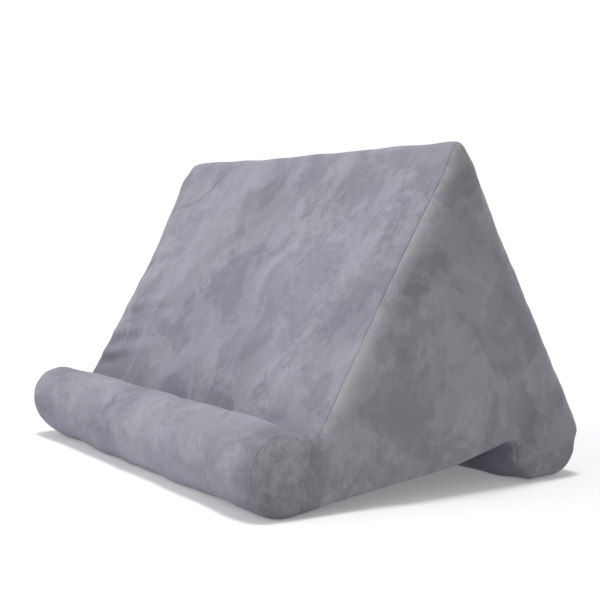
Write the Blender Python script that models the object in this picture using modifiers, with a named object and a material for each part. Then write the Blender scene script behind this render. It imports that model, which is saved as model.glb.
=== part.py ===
"""Tablet cushion stand: a sewn cloth cover over shaped foam, in metres, +Z up.

The cover is a wedge with a thick roll along its front foot and a raised foot at the
back. Every layer follows one end outline, which is set in from the outer face by the
layer's depth, so cloth and foam nest with even gaps. X runs along the stand, -Y is
the front, and the origin is the middle of the outline's box on the floor.
"""

import math

import bmesh
import bpy
import numpy as np
from mathutils import Matrix, Vector
from mathutils.geometry import delaunay_2d_cdt

# Driving sizes of the cover, metres and degrees, y counted from the foremost point
length = 0.3124
depth = 0.229
height = 0.1925
roll_radius = 0.023
rest_flat = 0.00055
groove_y = 0.0418
groove_z = 0.0385
front_face_degrees = 59.9
rear_bend_height = 0.027
underside_degrees = 7.3
arch_length = 0.0442
arch_roof_degrees = 14.4
foot_length = 0.050
groove_radius = 0.003
ridge_radius = 0.005
rear_bend_radius = 0.012
foot_rear_radius = 0.016
foot_front_radius = 0.010
arch_inner_radius = 0.005
arch_start_radius = 0.015

# How the filled cover swells, and how its ends are rounded
end_radius = 0.008
face_crown = 0.003
end_bulge = 0.003
bulge_reach = 0.025
waist_share = 0.006

# Cloth, seams and the gaps between layers
cloth = 0.0012
layer_gap = 0.0003
seam_gap = 0.0005
least_radius = 0.0003
overrun = 0.004
merge_distance = 0.000003

# Rear pocket and its flap, along the rear face from its top
flap_end = 0.041
flap_wave = 0.0015
flap_lift = 0.0018
flap_snap_lift = 0.0030
snap_lift_reach = 0.022
binding_start = 0.036
binding_width = 0.018
binding_thickness = 0.0015
hem_width = 0.007
hem_thickness = 0.0014
hem_pucker = 0.0009
net_thickness = 0.0008
net_strand = 0.0022
net_columns = 16
net_rows = 11
pocket_side_gap = 0.0015

# Snap button
snap_distance = 0.027
snap_cap_radius = 0.0090
snap_cap_height = 0.0036
snap_post_radius = 0.0015
snap_hole_radius = 0.0019
snap_socket_radius = 0.0050
snap_socket_height = 0.0017
snap_recess_radius = 0.0030
snap_recess_depth = 0.0013
snap_stud_radius = 0.0055
snap_flange = 0.0004
snap_stud_height = 0.0017
snap_head_radius = 0.0024
snap_neck_radius = 0.0018
snap_back_thickness = 0.0005
snap_cap_edge = 0.0008
snap_cap_lip = 0.0004
stud_head_shares = (0.8, 0.65, 0.5)

# Zip, in the plane of the underside
zip_to_arch = 0.0254
zip_half_length = 0.105
zip_half_width = 0.0077
zip_pitch = 0.003
tooth_width = 0.0011
tooth_reach = 0.0009
tooth_thickness = 0.0022
bead_inner = 0.0021
bead_outer = 0.0029
tape_thickness = 0.0008
chain_proud = 0.0010
stop_length = 0.003
slider_length = 0.0090
slider_plate = 0.0010
slider_flange = 0.0008
bridge_width = 0.0016
bridge_height = 0.0029
bridge_thickness = 0.0009
bridge_length = 0.0062
pull_bar = 0.0012
pull_length = 0.0200
pull_width = 0.0056
pull_tip_width = 0.0044
pull_window = 0.0042
pull_floor_gap = 0.0006

# Grid counts
arc_steps = {"groove": 4, "roll_high": 9, "roll_low": 10, "arch_start": 3, "arch_inner": 4,
             "foot_front": 5, "foot_rear": 6, "rear_bend": 4, "ridge": 6}
face_steps = 8
plain_steps = 2
half_rows = 4
turn_steps = 24
tip_rounds = 12
cap_steps = 4
hem_puckers = 16
flap_steps = 8
ridge_shares = (0.5, 0.33, 0.16)
end_degrees = (0.0, 23.0, 43.2)
cap_degrees = (46.8, 66.0, 90.0)
fill_spacing = 0.017

suede = (0.36, 0.36, 0.42, 1.0)
end_suede = (0.27, 0.27, 0.29, 1.0)
foam_white = (0.83, 0.80, 0.68, 1.0)
mesh_grey = (0.32, 0.32, 0.33, 1.0)
pale_grey = (0.60, 0.60, 0.63, 1.0)
button_black = (0.015, 0.015, 0.018, 1.0)
metal_grey = (0.55, 0.55, 0.57, 1.0)
tape_grey = (0.22, 0.22, 0.25, 1.0)

half_depth = depth / 2
foot_front_y = depth - foot_length
arch_start_y = foot_front_y - arch_length
straight_half = length / 2 - end_radius
foam_depth = cloth + layer_gap
corner_names = list(arc_steps)

for old in list(bpy.data.objects):
    bpy.data.objects.remove(old, do_unlink=True)

stand = bpy.data.collections.new("tablet_cushion_stand")
cutters = bpy.data.collections.new("cutters")
bpy.context.scene.collection.children.link(stand)
bpy.context.scene.collection.children.link(cutters)


def slope(degrees):
    """Unit direction (y, z) that rises at an angle."""
    angle = math.radians(degrees)
    return np.array([math.cos(angle), math.sin(angle)])


def corner_points():
    """Sharp corners of the outline, counterclockwise from the groove, as (y, z).

    The ridge's sharp tip stands above its rounded top by what the rear face's slope asks,
    and that slope depends on the tip, so the two settle in a few rounds.
    """
    groove = np.array([groove_y, groove_z])
    centre = np.array([roll_radius, roll_radius - rest_flat])
    reach = groove - centre
    half_view = math.asin(roll_radius / math.hypot(*reach))
    tangent_angle = math.atan2(*reach[::-1]) + math.pi - half_view
    flank = np.array([math.cos(tangent_angle), math.sin(tangent_angle)])
    roll_high = groove - flank * groove_y / flank[0]
    under = slope(underside_degrees)
    touch = centre + roll_radius * np.array([under[1], -under[0]])
    roll_low = touch - under * touch[0] / under[0]
    arch_start = touch + under * (arch_start_y - touch[0]) / under[0]
    roof = slope(arch_roof_degrees)
    arch_inner = arch_start + roof * (foot_front_y - arch_start_y) / roof[0]
    front = slope(front_face_degrees)
    rear_bend = np.array([depth, rear_bend_height])
    tip = groove + front * (height - groove_z) / front[1]
    for _ in range(tip_rounds):
        rear = (rear_bend - tip) / np.linalg.norm(rear_bend - tip)
        half_tip = math.acos(-front @ rear) / 2
        tip_z = height + ridge_radius * (1 / math.sin(half_tip) - 1)
        tip = groove + front * (tip_z - groove_z) / front[1]
    return np.array([groove, roll_high, roll_low, arch_start, arch_inner,
                     (foot_front_y, -rest_flat), (depth, -rest_flat), rear_bend, tip])


corners = corner_points()
radii = np.array([groove_radius, roll_radius, roll_radius, arch_start_radius, arch_inner_radius,
                  foot_front_radius, foot_rear_radius, rear_bend_radius, ridge_radius])
headings = np.roll(corners, -1, axis=0) - corners
headings /= np.linalg.norm(headings, axis=1)[:, None]


def outline_arcs(inset):
    """Each corner's arc on the outline set in by a distance: start, end, centre, turn and radius."""
    arcs = []
    for index, corner in enumerate(corners):
        before, after = headings[index - 1], headings[index]
        turn = math.atan2(before[0] * after[1] - before[1] * after[0], before @ after)
        side = math.copysign(1.0, turn)
        inward = np.array([-before[1], before[0]])
        moved = corner + inset * (inward - before * math.tan(turn / 2))
        radius = max(radii[index] - side * inset, least_radius)
        reach = radius * math.tan(abs(turn) / 2)
        start = moved - before * reach
        arcs.append((start, moved + after * reach, start + inward * radius * side, turn, radius))
    return arcs


def outline_points(stations, inset):
    """Points and outward normals, (y, z), of the stations on the outline set in by a distance.

    A station is ("arc", corner, share), ("face", corner, share) along the straight after
    that corner, or ("mark", corner, distance) along it from the sharp corner.
    """
    arcs = outline_arcs(inset)
    points, normals = [], []
    for kind, index, place in stations:
        before, after = headings[index - 1], headings[index]
        normal = np.array([after[1], -after[0]])
        if kind == "arc":
            _, _, centre, turn, radius = arcs[index]
            angle = math.atan2(-before[0], before[1]) + turn * place
            normal = np.array([math.cos(angle), math.sin(angle)])
            point = centre + normal * radius * math.copysign(1.0, turn)
        elif kind == "face":
            start, end = arcs[index][1], arcs[(index + 1) % len(corners)][0]
            point = start + (end - start) * place
        else:
            point = corners[index] + after * place - normal * inset
        points.append(point)
        normals.append(normal)
    return np.array(points), np.array(normals)


base_arcs = outline_arcs(0.0)


def crown_at(station, x_share):
    """How far a face stands proud at a station, largest in its middle and nothing at its seams."""
    kind, index, place = station
    if corner_names[index] not in ("ridge", "rear_bend") or kind == "arc":
        return 0.0
    start, end = base_arcs[index][1], base_arcs[(index + 1) % len(corners)][0]
    if kind == "mark":
        place = (place - (start - corners[index]) @ headings[index]) / np.linalg.norm(end - start)
    return face_crown * math.sin(math.pi * place) * (1 - x_share**2)


def waist(z):
    """How much of its length the stand keeps at a height: least half way up."""
    return 1 - waist_share * np.sin(math.pi * np.clip(z / height, 0, 1))


def in_world(x, y, z, floor):
    """World points: centred front to back, drawn in at mid height, and flat on the floor."""
    z = np.maximum(z, floor)
    return np.stack([x * waist(z), y - half_depth, z], axis=-1)


def ring(stations, x, inset, x_share, floor, trim=0.0):
    """One ring of world points at x, its end stations trimmed back along the outline."""
    points, normals = outline_points(stations, inset)
    crowns = np.array([crown_at(station, x_share) for station in stations])
    points = points + normals * crowns[:, None]
    if trim:
        points[0] += trim * np.array([-normals[0][1], normals[0][0]])
        points[-1] -= trim * np.array([-normals[-1][1], normals[-1][0]])
    return in_world(np.full(len(points), x), points[:, 0], points[:, 1], floor)


def skin(stations, layer, degrees=end_degrees, trim=0.0, inner_rows=()):
    """Grid of world points of a wrapped layer, whose rings round over towards both ends."""
    radius = end_radius - layer
    middle = sorted({*(straight_half * k / half_rows for k in range(half_rows)), *inner_rows})
    middle = sorted({-x for x in middle} | set(middle))
    rounded = [(straight_half + radius * math.sin(math.radians(d)),
                end_radius - radius * math.cos(math.radians(d)), 1.0) for d in degrees]
    rows = [(-x, inset, share) for x, inset, share in reversed(rounded)]
    rows += [(x, layer, x / straight_half) for x in middle] + rounded
    return np.array([ring(stations, x, inset, share, layer, trim) for x, inset, share in rows])


def material(name, colour, roughness, metallic=0.0):
    """A plain Principled material of one colour."""
    made = bpy.data.materials.new(name)
    made.use_nodes = True
    shader = made.node_tree.nodes["Principled BSDF"]
    shader.inputs["Base Color"].default_value = colour
    shader.inputs["Roughness"].default_value = roughness
    shader.inputs["Metallic"].default_value = metallic
    return made


def add_object(name, vertices, faces, finish, smooth=40.0):
    """A mesh object in the stand's collection, its normals turned outwards."""
    mesh = bpy.data.meshes.new(name)
    mesh.from_pydata([tuple(map(float, v)) for v in vertices], [], faces)
    shape = bmesh.new()
    shape.from_mesh(mesh)
    bmesh.ops.recalc_face_normals(shape, faces=shape.faces)
    shape.to_mesh(mesh)
    shape.free()
    mesh.shade_smooth()
    mesh.set_sharp_from_angle(angle=math.radians(smooth))
    mesh.materials.append(finish)
    made = bpy.data.objects.new(name, mesh)
    stand.objects.link(made)
    return made


def slab(name, outer, inner, finish, keep=None):
    """A closed sheet between two grids of points, with holes where keep is False."""
    rows, columns = outer.shape[:2]
    if keep is None:
        keep = np.ones((rows - 1, columns - 1), bool)
    vertices = np.concatenate([outer.reshape(-1, 3), inner.reshape(-1, 3)])
    below = rows * columns
    faces = []

    def wall(a, b):
        faces.append((a, b, b + below, a + below))

    for i, j in np.argwhere(keep):
        a, b = int(i) * columns + int(j), (int(i) + 1) * columns + int(j)
        faces.append((a, a + 1, b + 1, b))
        faces.append((a + below, b + below, b + 1 + below, a + 1 + below))
        if i == 0 or not keep[i - 1, j]:
            wall(a + 1, a)
        if i == rows - 2 or not keep[i + 1, j]:
            wall(b, b + 1)
        if j == 0 or not keep[i, j - 1]:
            wall(a, b)
        if j == columns - 2 or not keep[i, j + 1]:
            wall(b + 1, a + 1)
    used = sorted({k for face in faces for k in face})
    place = {old: new for new, old in enumerate(used)}
    return add_object(name, vertices[used], [tuple(place[k] for k in f) for f in faces], finish)


def stations_between(first, last, start_share=0.5, end_share=0.5):
    """Stations from the middle of one corner's arc to the middle of a later one's.

    The roll's two arcs meet at its foremost line, which is one station.
    """
    count = (last - first) % len(corners)
    found = []
    for step in range(count + 1):
        index = (first + step) % len(corners)
        name = corner_names[index]
        steps = arc_steps[name]
        low = start_share if step == 0 else 0.0
        high = end_share if step == count else 1.0
        shares = [k / steps for k in range(steps + 1) if low < k / steps < high]
        starts = [] if name == "roll_low" and step > 0 else [low]
        found += [("arc", index, share) for share in starts + shares + [high]]
        if step < count and name != "roll_high":
            steps = face_steps if name in ("ridge", "rear_bend") else plain_steps
            found += [("face", index, k / steps) for k in range(1, steps)]
    return found


GROOVE, ROLL_HIGH, ROLL_LOW, ARCH_START, ARCH_INNER, FOOT_FRONT, FOOT_REAR, REAR_BEND, RIDGE = range(9)

suede_cloth = material("suede_cloth", suede, 0.85)
end_cloth = material("end_cloth", end_suede, 0.85)
foam = material("foam", foam_white, 0.9)

# Wrapped cover panels, each sewn to the next at a seam
zip_distance = np.linalg.norm(corners[ARCH_START] - corners[ROLL_LOW]) - zip_to_arch
zip_front = ("mark", ROLL_LOW, zip_distance - zip_half_width)
zip_rear = ("mark", ROLL_LOW, zip_distance + zip_half_width)
zip_seam = ("mark", ROLL_LOW, zip_distance)


def panel(name, stations, finish, window=False):
    """A sewn cover panel, with the zip's window cut from it where it borders the zip."""
    rows_at = (zip_half_length,) if window else ()
    outer = skin(stations, 0.0, trim=seam_gap / 2, inner_rows=rows_at)
    inner = skin(stations, cloth, trim=seam_gap / 2, inner_rows=rows_at)
    keep = np.ones((len(outer) - 1, len(stations) - 1), bool)
    if window:
        middle = (outer[:-1, 0, 0] + outer[1:, 0, 0]) / 2
        column = len(stations) - 2 if stations[-1] == zip_seam else 0
        keep[np.abs(middle) < zip_half_length, column] = False
    return slab(name, outer, inner, finish, keep)


around = stations_between(GROOVE, ARCH_START)
under_start = around.index(("arc", ROLL_LOW, 1.0)) + 1
roll_stations = around[:under_start] + [zip_front, zip_seam]
base_stations = [zip_seam, zip_rear] + stations_between(ARCH_START, ARCH_INNER, 0.0)

panel("front_panel", stations_between(RIDGE, GROOVE), suede_cloth)
panel("roll_panel", roll_stations, suede_cloth, window=True)
panel("base_panel", base_stations, suede_cloth, window=True)
panel("foot_panel", stations_between(ARCH_INNER, REAR_BEND), suede_cloth)
rear_stations = stations_between(REAR_BEND, RIDGE)


def distance_to_outline(points):
    """Distance of (y, z) points from the cover's outline."""
    loop = np.array(outline_points(stations_between(GROOVE, RIDGE, 0.0, 1.0), 0.0)[0])
    along = np.roll(loop, -1, axis=0) - loop
    offset = points[:, None, :] - loop[None, :, :]
    share = np.clip((offset * along).sum(-1) / (along**2).sum(-1), 0, 1)
    return np.linalg.norm(offset - share[..., None] * along, axis=-1).min(axis=1)


def end_height(inward):
    """How far the end face stands out past its rounding, from nothing to the full bulge."""
    return end_bulge * (1 - np.exp(-(np.maximum(inward, 0) / bulge_reach) ** 2))


def end_fill(degrees, loop_stations):
    """Flat layout of an end face: rings near the seam, then a grid of points, triangulated."""
    flat, kinds = [], []
    for angle in degrees:
        inset = end_radius * (1 - math.cos(math.radians(angle)))
        points, _ = outline_points(loop_stations, inset)
        flat += [Vector(p) for p in points]
        kinds += [(angle, k) for k in range(len(points))]
    count = len(loop_stations)
    edges = [(r * count + k, r * count + (k + 1) % count)
             for r in range(len(degrees)) for k in range(count)]
    grid = [(y, z) for y in np.arange(fill_spacing, depth, fill_spacing)
            for z in np.arange(fill_spacing, height, fill_spacing)]
    grid = np.array(grid)
    around = np.array(outline_points(loop_stations, end_radius)[0])
    nxt = np.roll(around, -1, axis=0)
    crossing = (around[:, 1] > grid[:, None, 1]) != (nxt[:, 1] > grid[:, None, 1])
    rise = np.where(nxt[:, 1] == around[:, 1], least_radius, nxt[:, 1] - around[:, 1])
    meet = around[:, 0] + (grid[:, None, 1] - around[:, 1]) * (nxt[:, 0] - around[:, 0]) / rise
    inside = (crossing & (grid[:, None, 0] < meet)).sum(axis=1) % 2 == 1
    clear = distance_to_outline(grid) > end_radius + fill_spacing / 3
    for point in grid[inside & clear]:
        flat.append(Vector(point))
        kinds.append((None, point))
    boundary = list(range(count))
    made = delaunay_2d_cdt(flat, edges, [boundary], 1, merge_distance)
    return [kinds[ids[0]] for ids in made[3]], [tuple(face) for face in made[2]]


def end_points(kinds, loop_stations, layer):
    """World points of an end face, at a depth, for the layout's vertices."""
    radius = end_radius - layer
    rings = {}
    for angle in {kind for kind, _ in kinds if kind is not None}:
        inset = end_radius - radius * math.cos(math.radians(angle))
        rings[angle] = outline_points(loop_stations, inset)[0]
    x, yz = [], []
    for kind, place in kinds:
        if kind is None:
            inward = distance_to_outline(np.array([place]))[0] - end_radius
            x.append(straight_half + radius + end_height(inward))
            yz.append(place)
        else:
            x.append(straight_half + radius * math.sin(math.radians(kind)))
            yz.append(rings[kind][place])
    yz = np.array(yz)
    return in_world(np.array(x), yz[:, 0], yz[:, 1], layer)


loop = stations_between(GROOVE, RIDGE, 0.0, 1.0)
loop += [("face", RIDGE, k / face_steps) for k in range(1, face_steps)]
cap_kinds, cap_faces = end_fill(cap_degrees, loop)


def end_panel(name, side):
    """An end panel: a domed face and its inner face, closed round its sewn edge."""
    outer = end_points(cap_kinds, loop, 0.0)
    inner = end_points(cap_kinds, loop, cloth)
    vertices = np.concatenate([outer, inner]) * (side, 1, 1)
    below = len(outer)
    faces = list(cap_faces) + [tuple(k + below for k in reversed(face)) for face in cap_faces]
    edge = {place: i for i, (kind, place) in enumerate(cap_kinds) if kind == cap_degrees[0]}
    ordered = [edge[k] for k in range(len(loop))]
    faces += [(a, b, b + below, a + below) for a, b in zip(ordered, ordered[1:] + ordered[:1])]
    add_object(name, vertices, faces, end_cloth)


end_panel("right_end_panel", 1)
end_panel("left_end_panel", -1)


# Foam, one lofted body that is cut into the wedge, the roll and the foot
def foam_body(name):
    """The whole foam shape at the foam's depth, closed with domed ends."""
    rows = skin(loop, foam_depth, (0.0, 45.0))
    degrees = (45.0, 90.0)
    kinds, cap = end_fill(degrees, loop)
    columns = len(loop)
    vertices = list(rows.reshape(-1, 3))
    faces = [(i * columns + j, i * columns + (j + 1) % columns,
              (i + 1) * columns + (j + 1) % columns, (i + 1) * columns + j)
             for i in range(len(rows) - 1) for j in range(columns)]
    points = end_points(kinds, loop, foam_depth)
    for side, ring_start in ((-1, 0), (1, (len(rows) - 1) * columns)):
        index = []
        for (kind, place), point in zip(kinds, points):
            if kind == degrees[0]:
                index.append(ring_start + place)
            else:
                index.append(len(vertices))
                vertices.append(point * (side, 1, 1))
        faces += [tuple(index[k] for k in face) for face in cap]
    return add_object(name, vertices, faces, foam)


def box_cutter(name, low, high):
    """A hidden box between two corners, for cuts."""
    bpy.ops.mesh.primitive_cube_add(size=1)
    made = bpy.context.active_object
    made.name = name
    low, high = Vector(low), Vector(high)
    made.data.transform(Matrix.Translation((low + high) / 2) @ Matrix.Diagonal([*(high - low), 1]))
    hide_cutter(made)
    return made


def hide_cutter(made):
    """Moves a cutter to the cutters' collection and hides it from the render."""
    for owner in list(made.users_collection):
        owner.objects.unlink(made)
    cutters.objects.link(made)
    made.hide_render = True
    made.display_type = "WIRE"


def cut(target, cutter, operation="DIFFERENCE"):
    """A live exact Boolean."""
    modifier = target.modifiers.new(operation.title(), "BOOLEAN")
    modifier.operation = operation
    modifier.object = cutter
    modifier.solver = "EXACT"


roll_split = groove_y - half_depth
foot_top = corners[ARCH_INNER][1] - layer_gap
span = length / 2 + overrun + end_bulge
front_box = box_cutter("roll_side", (-span, -half_depth - overrun, -overrun),
                       (span, roll_split, groove_z + overrun))
wedge_box = box_cutter("wedge_side", (-span, -half_depth - overrun, -overrun - layer_gap),
                       (span, roll_split + layer_gap, groove_z + 2 * overrun))
foot_box = box_cutter("foot_side", (-span, foot_front_y - half_depth - overrun, -overrun),
                      (span, half_depth + overrun, foot_top))
above_box = box_cutter("above_foot_side", (-span, foot_front_y - half_depth - overrun - layer_gap,
                                           -overrun - layer_gap),
                       (span, half_depth + 2 * overrun, foot_top + layer_gap))
foam_wedge = foam_body("foam_wedge")
cut(foam_wedge, wedge_box)
cut(foam_wedge, above_box)
cut(foam_body("foam_front_roll"), front_box, "INTERSECT")
cut(foam_body("foam_rear_foot"), foot_box, "INTERSECT")


# The rear face as a surface of height above the cover, for what lies on it
rear_top = np.linalg.norm(corners[RIDGE] - corners[REAR_BEND])
rear_start = np.linalg.norm(base_arcs[RIDGE][0] - corners[RIDGE])
rear_run = np.linalg.norm(base_arcs[RIDGE][0] - base_arcs[REAR_BEND][1])


def on_rear(distance, x, lift):
    """World point on the rear face, a distance down from its top and a height above the cloth."""
    station = ("mark", REAR_BEND, rear_top - rear_start - distance)
    points, normals = outline_points([station], 0.0)
    rise = crown_at(station, x / straight_half) + lift
    y, z = points[0] + normals[0] * rise
    return in_world(np.array(x), np.array(y), np.array(z), 0.0)


def rear_sheet(name, distances, columns, low, thickness, finish, keep=None):
    """A sheet on the rear face; low gives its underside's height at a distance and an x."""
    def grid(extra):
        return np.array([[on_rear(d, x, low(d, x) + extra) for x in columns] for d in distances])
    return slab(name, grid(thickness), grid(0.0), finish, keep)


def even_columns(half, count):
    """Positions across the stand, evenly spaced."""
    return [half * (2 * k / count - 1) for k in range(count + 1)]


pocket_half = straight_half - pocket_side_gap
binding_end = binding_start + binding_width
hem_start = rear_run - hem_width
net_start = binding_end + layer_gap
net_end = hem_start - layer_gap
pocket_mesh = material("pocket_mesh", mesh_grey, 0.7)
pale_cloth = material("pale_cloth", pale_grey, 0.8)
rear_columns = even_columns(pocket_half, 2 * half_rows)
rear_sheet("pocket_binding", [binding_start, (binding_start + binding_end) / 2, binding_end],
           rear_columns, lambda d, x: layer_gap, binding_thickness, suede_cloth)


def gathered(distance, x):
    """Underside of the gathered hem: flat at its two edges, puckered between them."""
    across = math.sin(math.pi * (distance - hem_start) / hem_width)
    along = (1 + math.cos(math.pi * hem_puckers * x / pocket_half)) / 2
    return layer_gap + hem_pucker * across * along


rear_sheet("pocket_hem", [hem_start, hem_start + hem_width / 2, rear_run],
           even_columns(pocket_half, 4 * hem_puckers), gathered, hem_thickness, pale_cloth)


def strand_lines(low, high, gaps):
    """Edges of strands and gaps in turn, from the first strand's edge to the last one's."""
    pitch = (high - low - net_strand) / gaps
    return [low + pitch * k + side for k in range(gaps + 1) for side in (0.0, net_strand)]


net_lines = strand_lines(net_start, net_end, net_rows)
net_posts = strand_lines(-pocket_half, pocket_half, net_columns)
net_keep = np.ones((len(net_lines) - 1, len(net_posts) - 1), bool)
net_keep[1::2, 1::2] = False
rear_sheet("pocket_net", net_lines, net_posts, lambda d, x: layer_gap, net_thickness,
           pocket_mesh, net_keep)


# Snap button: post and back plate in the cover, stud on it, socket and cap on the flap
def smooth_share(value):
    """Rises from 0 to 1 without a corner."""
    value = min(max(value, 0.0), 1.0)
    return value * value * (3 - 2 * value)


def flap_low(distance, x):
    """Underside of the flap: it leaves the ridge, clears the pocket's binding and lifts at the snap."""
    near = math.exp(-((x / snap_lift_reach) ** 2))
    lift = flap_lift + (flap_snap_lift - flap_lift) * near
    return layer_gap + lift * smooth_share(distance / snap_distance)


def rear_frame(distance, lift):
    """Placement on the rear face at mid length: Z outwards, Y down the face."""
    ahead = on_rear(distance + snap_post_radius, 0.0, 0.0)
    down = Vector(ahead - on_rear(distance - snap_post_radius, 0.0, 0.0)).normalized()
    across = Vector((1, 0, 0))
    out = across.cross(down)
    frame = Matrix((across, down, out)).transposed().to_4x4()
    frame.translation = Vector(on_rear(distance, 0.0, 0.0)) + out * lift
    return frame


def turned(name, profile, frame, finish):
    """A turned piece: its profile, outer side from top to bottom, spun about local Z."""
    mesh = bpy.data.meshes.new(name)
    edges = [(k, k + 1) for k in range(len(profile) - 1)]
    mesh.from_pydata([(r, 0.0, z) for r, z in profile], edges, [])
    made = bpy.data.objects.new(name, mesh)
    stand.objects.link(made)
    spin = made.modifiers.new("Turn", "SCREW")
    spin.steps = turn_steps
    spin.render_steps = turn_steps
    spin.use_merge_vertices = True
    spin.merge_threshold = merge_distance
    mesh.materials.append(finish)
    made.matrix_world = frame
    return made


gloss_black = material("gloss_black", button_black, 0.15)
snap_metal = material("snap_metal", metal_grey, 0.3, 1.0)
stud_low = layer_gap
socket_low = stud_low + snap_flange + layer_gap
socket_roof = socket_low + snap_recess_depth
socket_high = socket_low + snap_socket_height
flap_under = flap_low(snap_distance, 0.0)
cap_low = flap_under + cloth + layer_gap

back_low = -foam_depth - snap_back_thickness
back_profile = [(0, 0), (snap_post_radius, 0), (snap_post_radius, -foam_depth),
                (snap_socket_radius, -foam_depth), (snap_socket_radius, back_low), (0, back_low)]
turned("snap_back", back_profile, rear_frame(snap_distance, 0.0), snap_metal)
head_top, head_low, neck_top = (snap_stud_height * share for share in stud_head_shares)
stud_profile = [(0, snap_stud_height), (snap_neck_radius, snap_stud_height),
                (snap_head_radius, head_top), (snap_head_radius, head_low),
                (snap_neck_radius, neck_top), (snap_neck_radius, snap_flange),
                (snap_stud_radius, snap_flange), (snap_stud_radius, 0), (0, 0)]
turned("snap_stud", stud_profile, rear_frame(snap_distance, stud_low), snap_metal)
socket_profile = [(0, socket_high), (snap_socket_radius, socket_high),
                  (snap_socket_radius, socket_low), (snap_recess_radius, socket_low),
                  (snap_recess_radius, socket_roof), (0, socket_roof)]
snap_socket = turned("snap_socket", socket_profile, rear_frame(snap_distance, 0.0), snap_metal)
dome_angles = [math.pi / 2 * k / cap_steps for k in range(cap_steps + 1)]
cap_profile = [(snap_cap_radius * math.sin(a),
                snap_cap_edge + (snap_cap_height - snap_cap_edge) * math.cos(a)) for a in dome_angles]
post_end = socket_high + layer_gap - cap_low
cap_profile += [(snap_cap_radius - snap_cap_lip, 0), (snap_post_radius, 0),
                (snap_post_radius, post_end), (0, post_end)]
snap_cap = turned("snap_cap", cap_profile, rear_frame(snap_distance, cap_low), gloss_black)


def round_cutter(name, radius, frame, low, high):
    """A hidden cylinder along a frame's Z between two heights."""
    bpy.ops.mesh.primitive_cylinder_add(vertices=turn_steps, radius=radius, depth=high - low)
    made = bpy.context.active_object
    made.name = name
    made.data.transform(Matrix.Translation((0, 0, (low + high) / 2)))
    made.matrix_world = frame
    hide_cutter(made)
    return made


snap_frame = rear_frame(snap_distance, 0.0)
post_hole = round_cutter("post_hole", snap_hole_radius, snap_frame, -foam_depth,
                         flap_under + overrun)
plate_pocket = round_cutter("plate_pocket", snap_socket_radius + layer_gap, snap_frame,
                            back_low - layer_gap, 0.0)
cut(foam_wedge, plate_pocket)
rear_panel = panel("rear_panel", rear_stations, suede_cloth)
cut(rear_panel, post_hole)

# Flap, sewn in at the ridge: it turns about its upper edge
flap_columns = even_columns(pocket_half, turn_steps)


def flap_grid(extra):
    """Points of the flap over the ridge's rear half and down the rear face to its wavy edge."""
    rows = []
    for share in ridge_shares:
        points, normals = outline_points([("arc", RIDGE, share)], 0.0)
        y, z = points[0] + normals[0] * (layer_gap + extra)
        rows.append([in_world(np.array(x), np.array(y), np.array(z), 0.0) for x in flap_columns])
    for k in range(flap_steps + 1):
        row = []
        for x in flap_columns:
            edge = flap_end + flap_wave * math.sin(3 * math.pi * x / pocket_half)
            distance = edge * k / flap_steps
            row.append(on_rear(distance, x, flap_low(distance, x) + extra))
        rows.append(row)
    return np.array(rows)


flap_panel = slab("flap_panel", flap_grid(cloth), flap_grid(0.0), suede_cloth)
cut(flap_panel, post_hole)
hinge_points, hinge_normals = outline_points([("arc", RIDGE, ridge_shares[0])], 0.0)
hinge = hinge_points[0] + hinge_normals[0] * (layer_gap + cloth / 2)


def pivot(name, location):
    """An empty on a moving body's axis."""
    made = bpy.data.objects.new(name, None)
    made.empty_display_size = snap_cap_radius
    made.matrix_world = location
    stand.objects.link(made)
    return made


def carry(child, parent):
    """Parents a piece to a pivot and keeps its place."""
    child.parent = parent
    child.matrix_parent_inverse = parent.matrix_world.inverted()


flap_pivot = pivot("flap_pivot", Matrix.Translation((0, hinge[0] - half_depth, hinge[1])))
for piece in (flap_panel, snap_cap, snap_socket):
    carry(piece, flap_pivot)

# Zip, laid out flat and set into the underside: local X along it, Z outwards (down)
under_heading = headings[ROLL_LOW]
zip_y, zip_z = corners[ROLL_LOW] + under_heading * zip_distance
zip_frame = Matrix(((1, 0, 0), (0, -under_heading[0], -under_heading[1]),
                    (0, under_heading[1], -under_heading[0]))).transposed().to_4x4()
zip_frame.translation = Vector((0, zip_y - half_depth, zip_z))
chain_middle = chain_proud - tooth_thickness / 2
window_top = outline_points([zip_rear], cloth)[0][0][1]
tape_end = zip_half_length * waist(window_top) - layer_gap
chain_half = tape_end - stop_length - 2 * layer_gap
along_x = Matrix(((0, 0, 1, 0), (1, 0, 0, 0), (0, 1, 0, 0), (0, 0, 0, 1)))
across_y = Matrix(((1, 0, 0, 0), (0, 0, -1, 0), (0, 1, 0, 0), (0, 0, 0, 1)))
zip_tape = material("zip_tape", tape_grey, 0.8)
zip_metal = material("zip_metal", metal_grey, 0.35, 1.0)


def extruded(name, outline, low, high, frame, finish):
    """A flat outline of (x, y) points raised from one height to another."""
    shape = bmesh.new()
    base = [shape.verts.new((x, y, low)) for x, y in outline]
    face = shape.faces.new(base)
    moved = bmesh.ops.extrude_face_region(shape, geom=[face])["geom"]
    bmesh.ops.translate(shape, vec=(0, 0, high - low),
                        verts=[v for v in moved if isinstance(v, bmesh.types.BMVert)])
    bmesh.ops.recalc_face_normals(shape, faces=shape.faces)
    mesh = bpy.data.meshes.new(name)
    shape.to_mesh(mesh)
    shape.free()
    mesh.materials.append(finish)
    made = bpy.data.objects.new(name, mesh)
    stand.objects.link(made)
    made.matrix_world = frame
    return made


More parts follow.
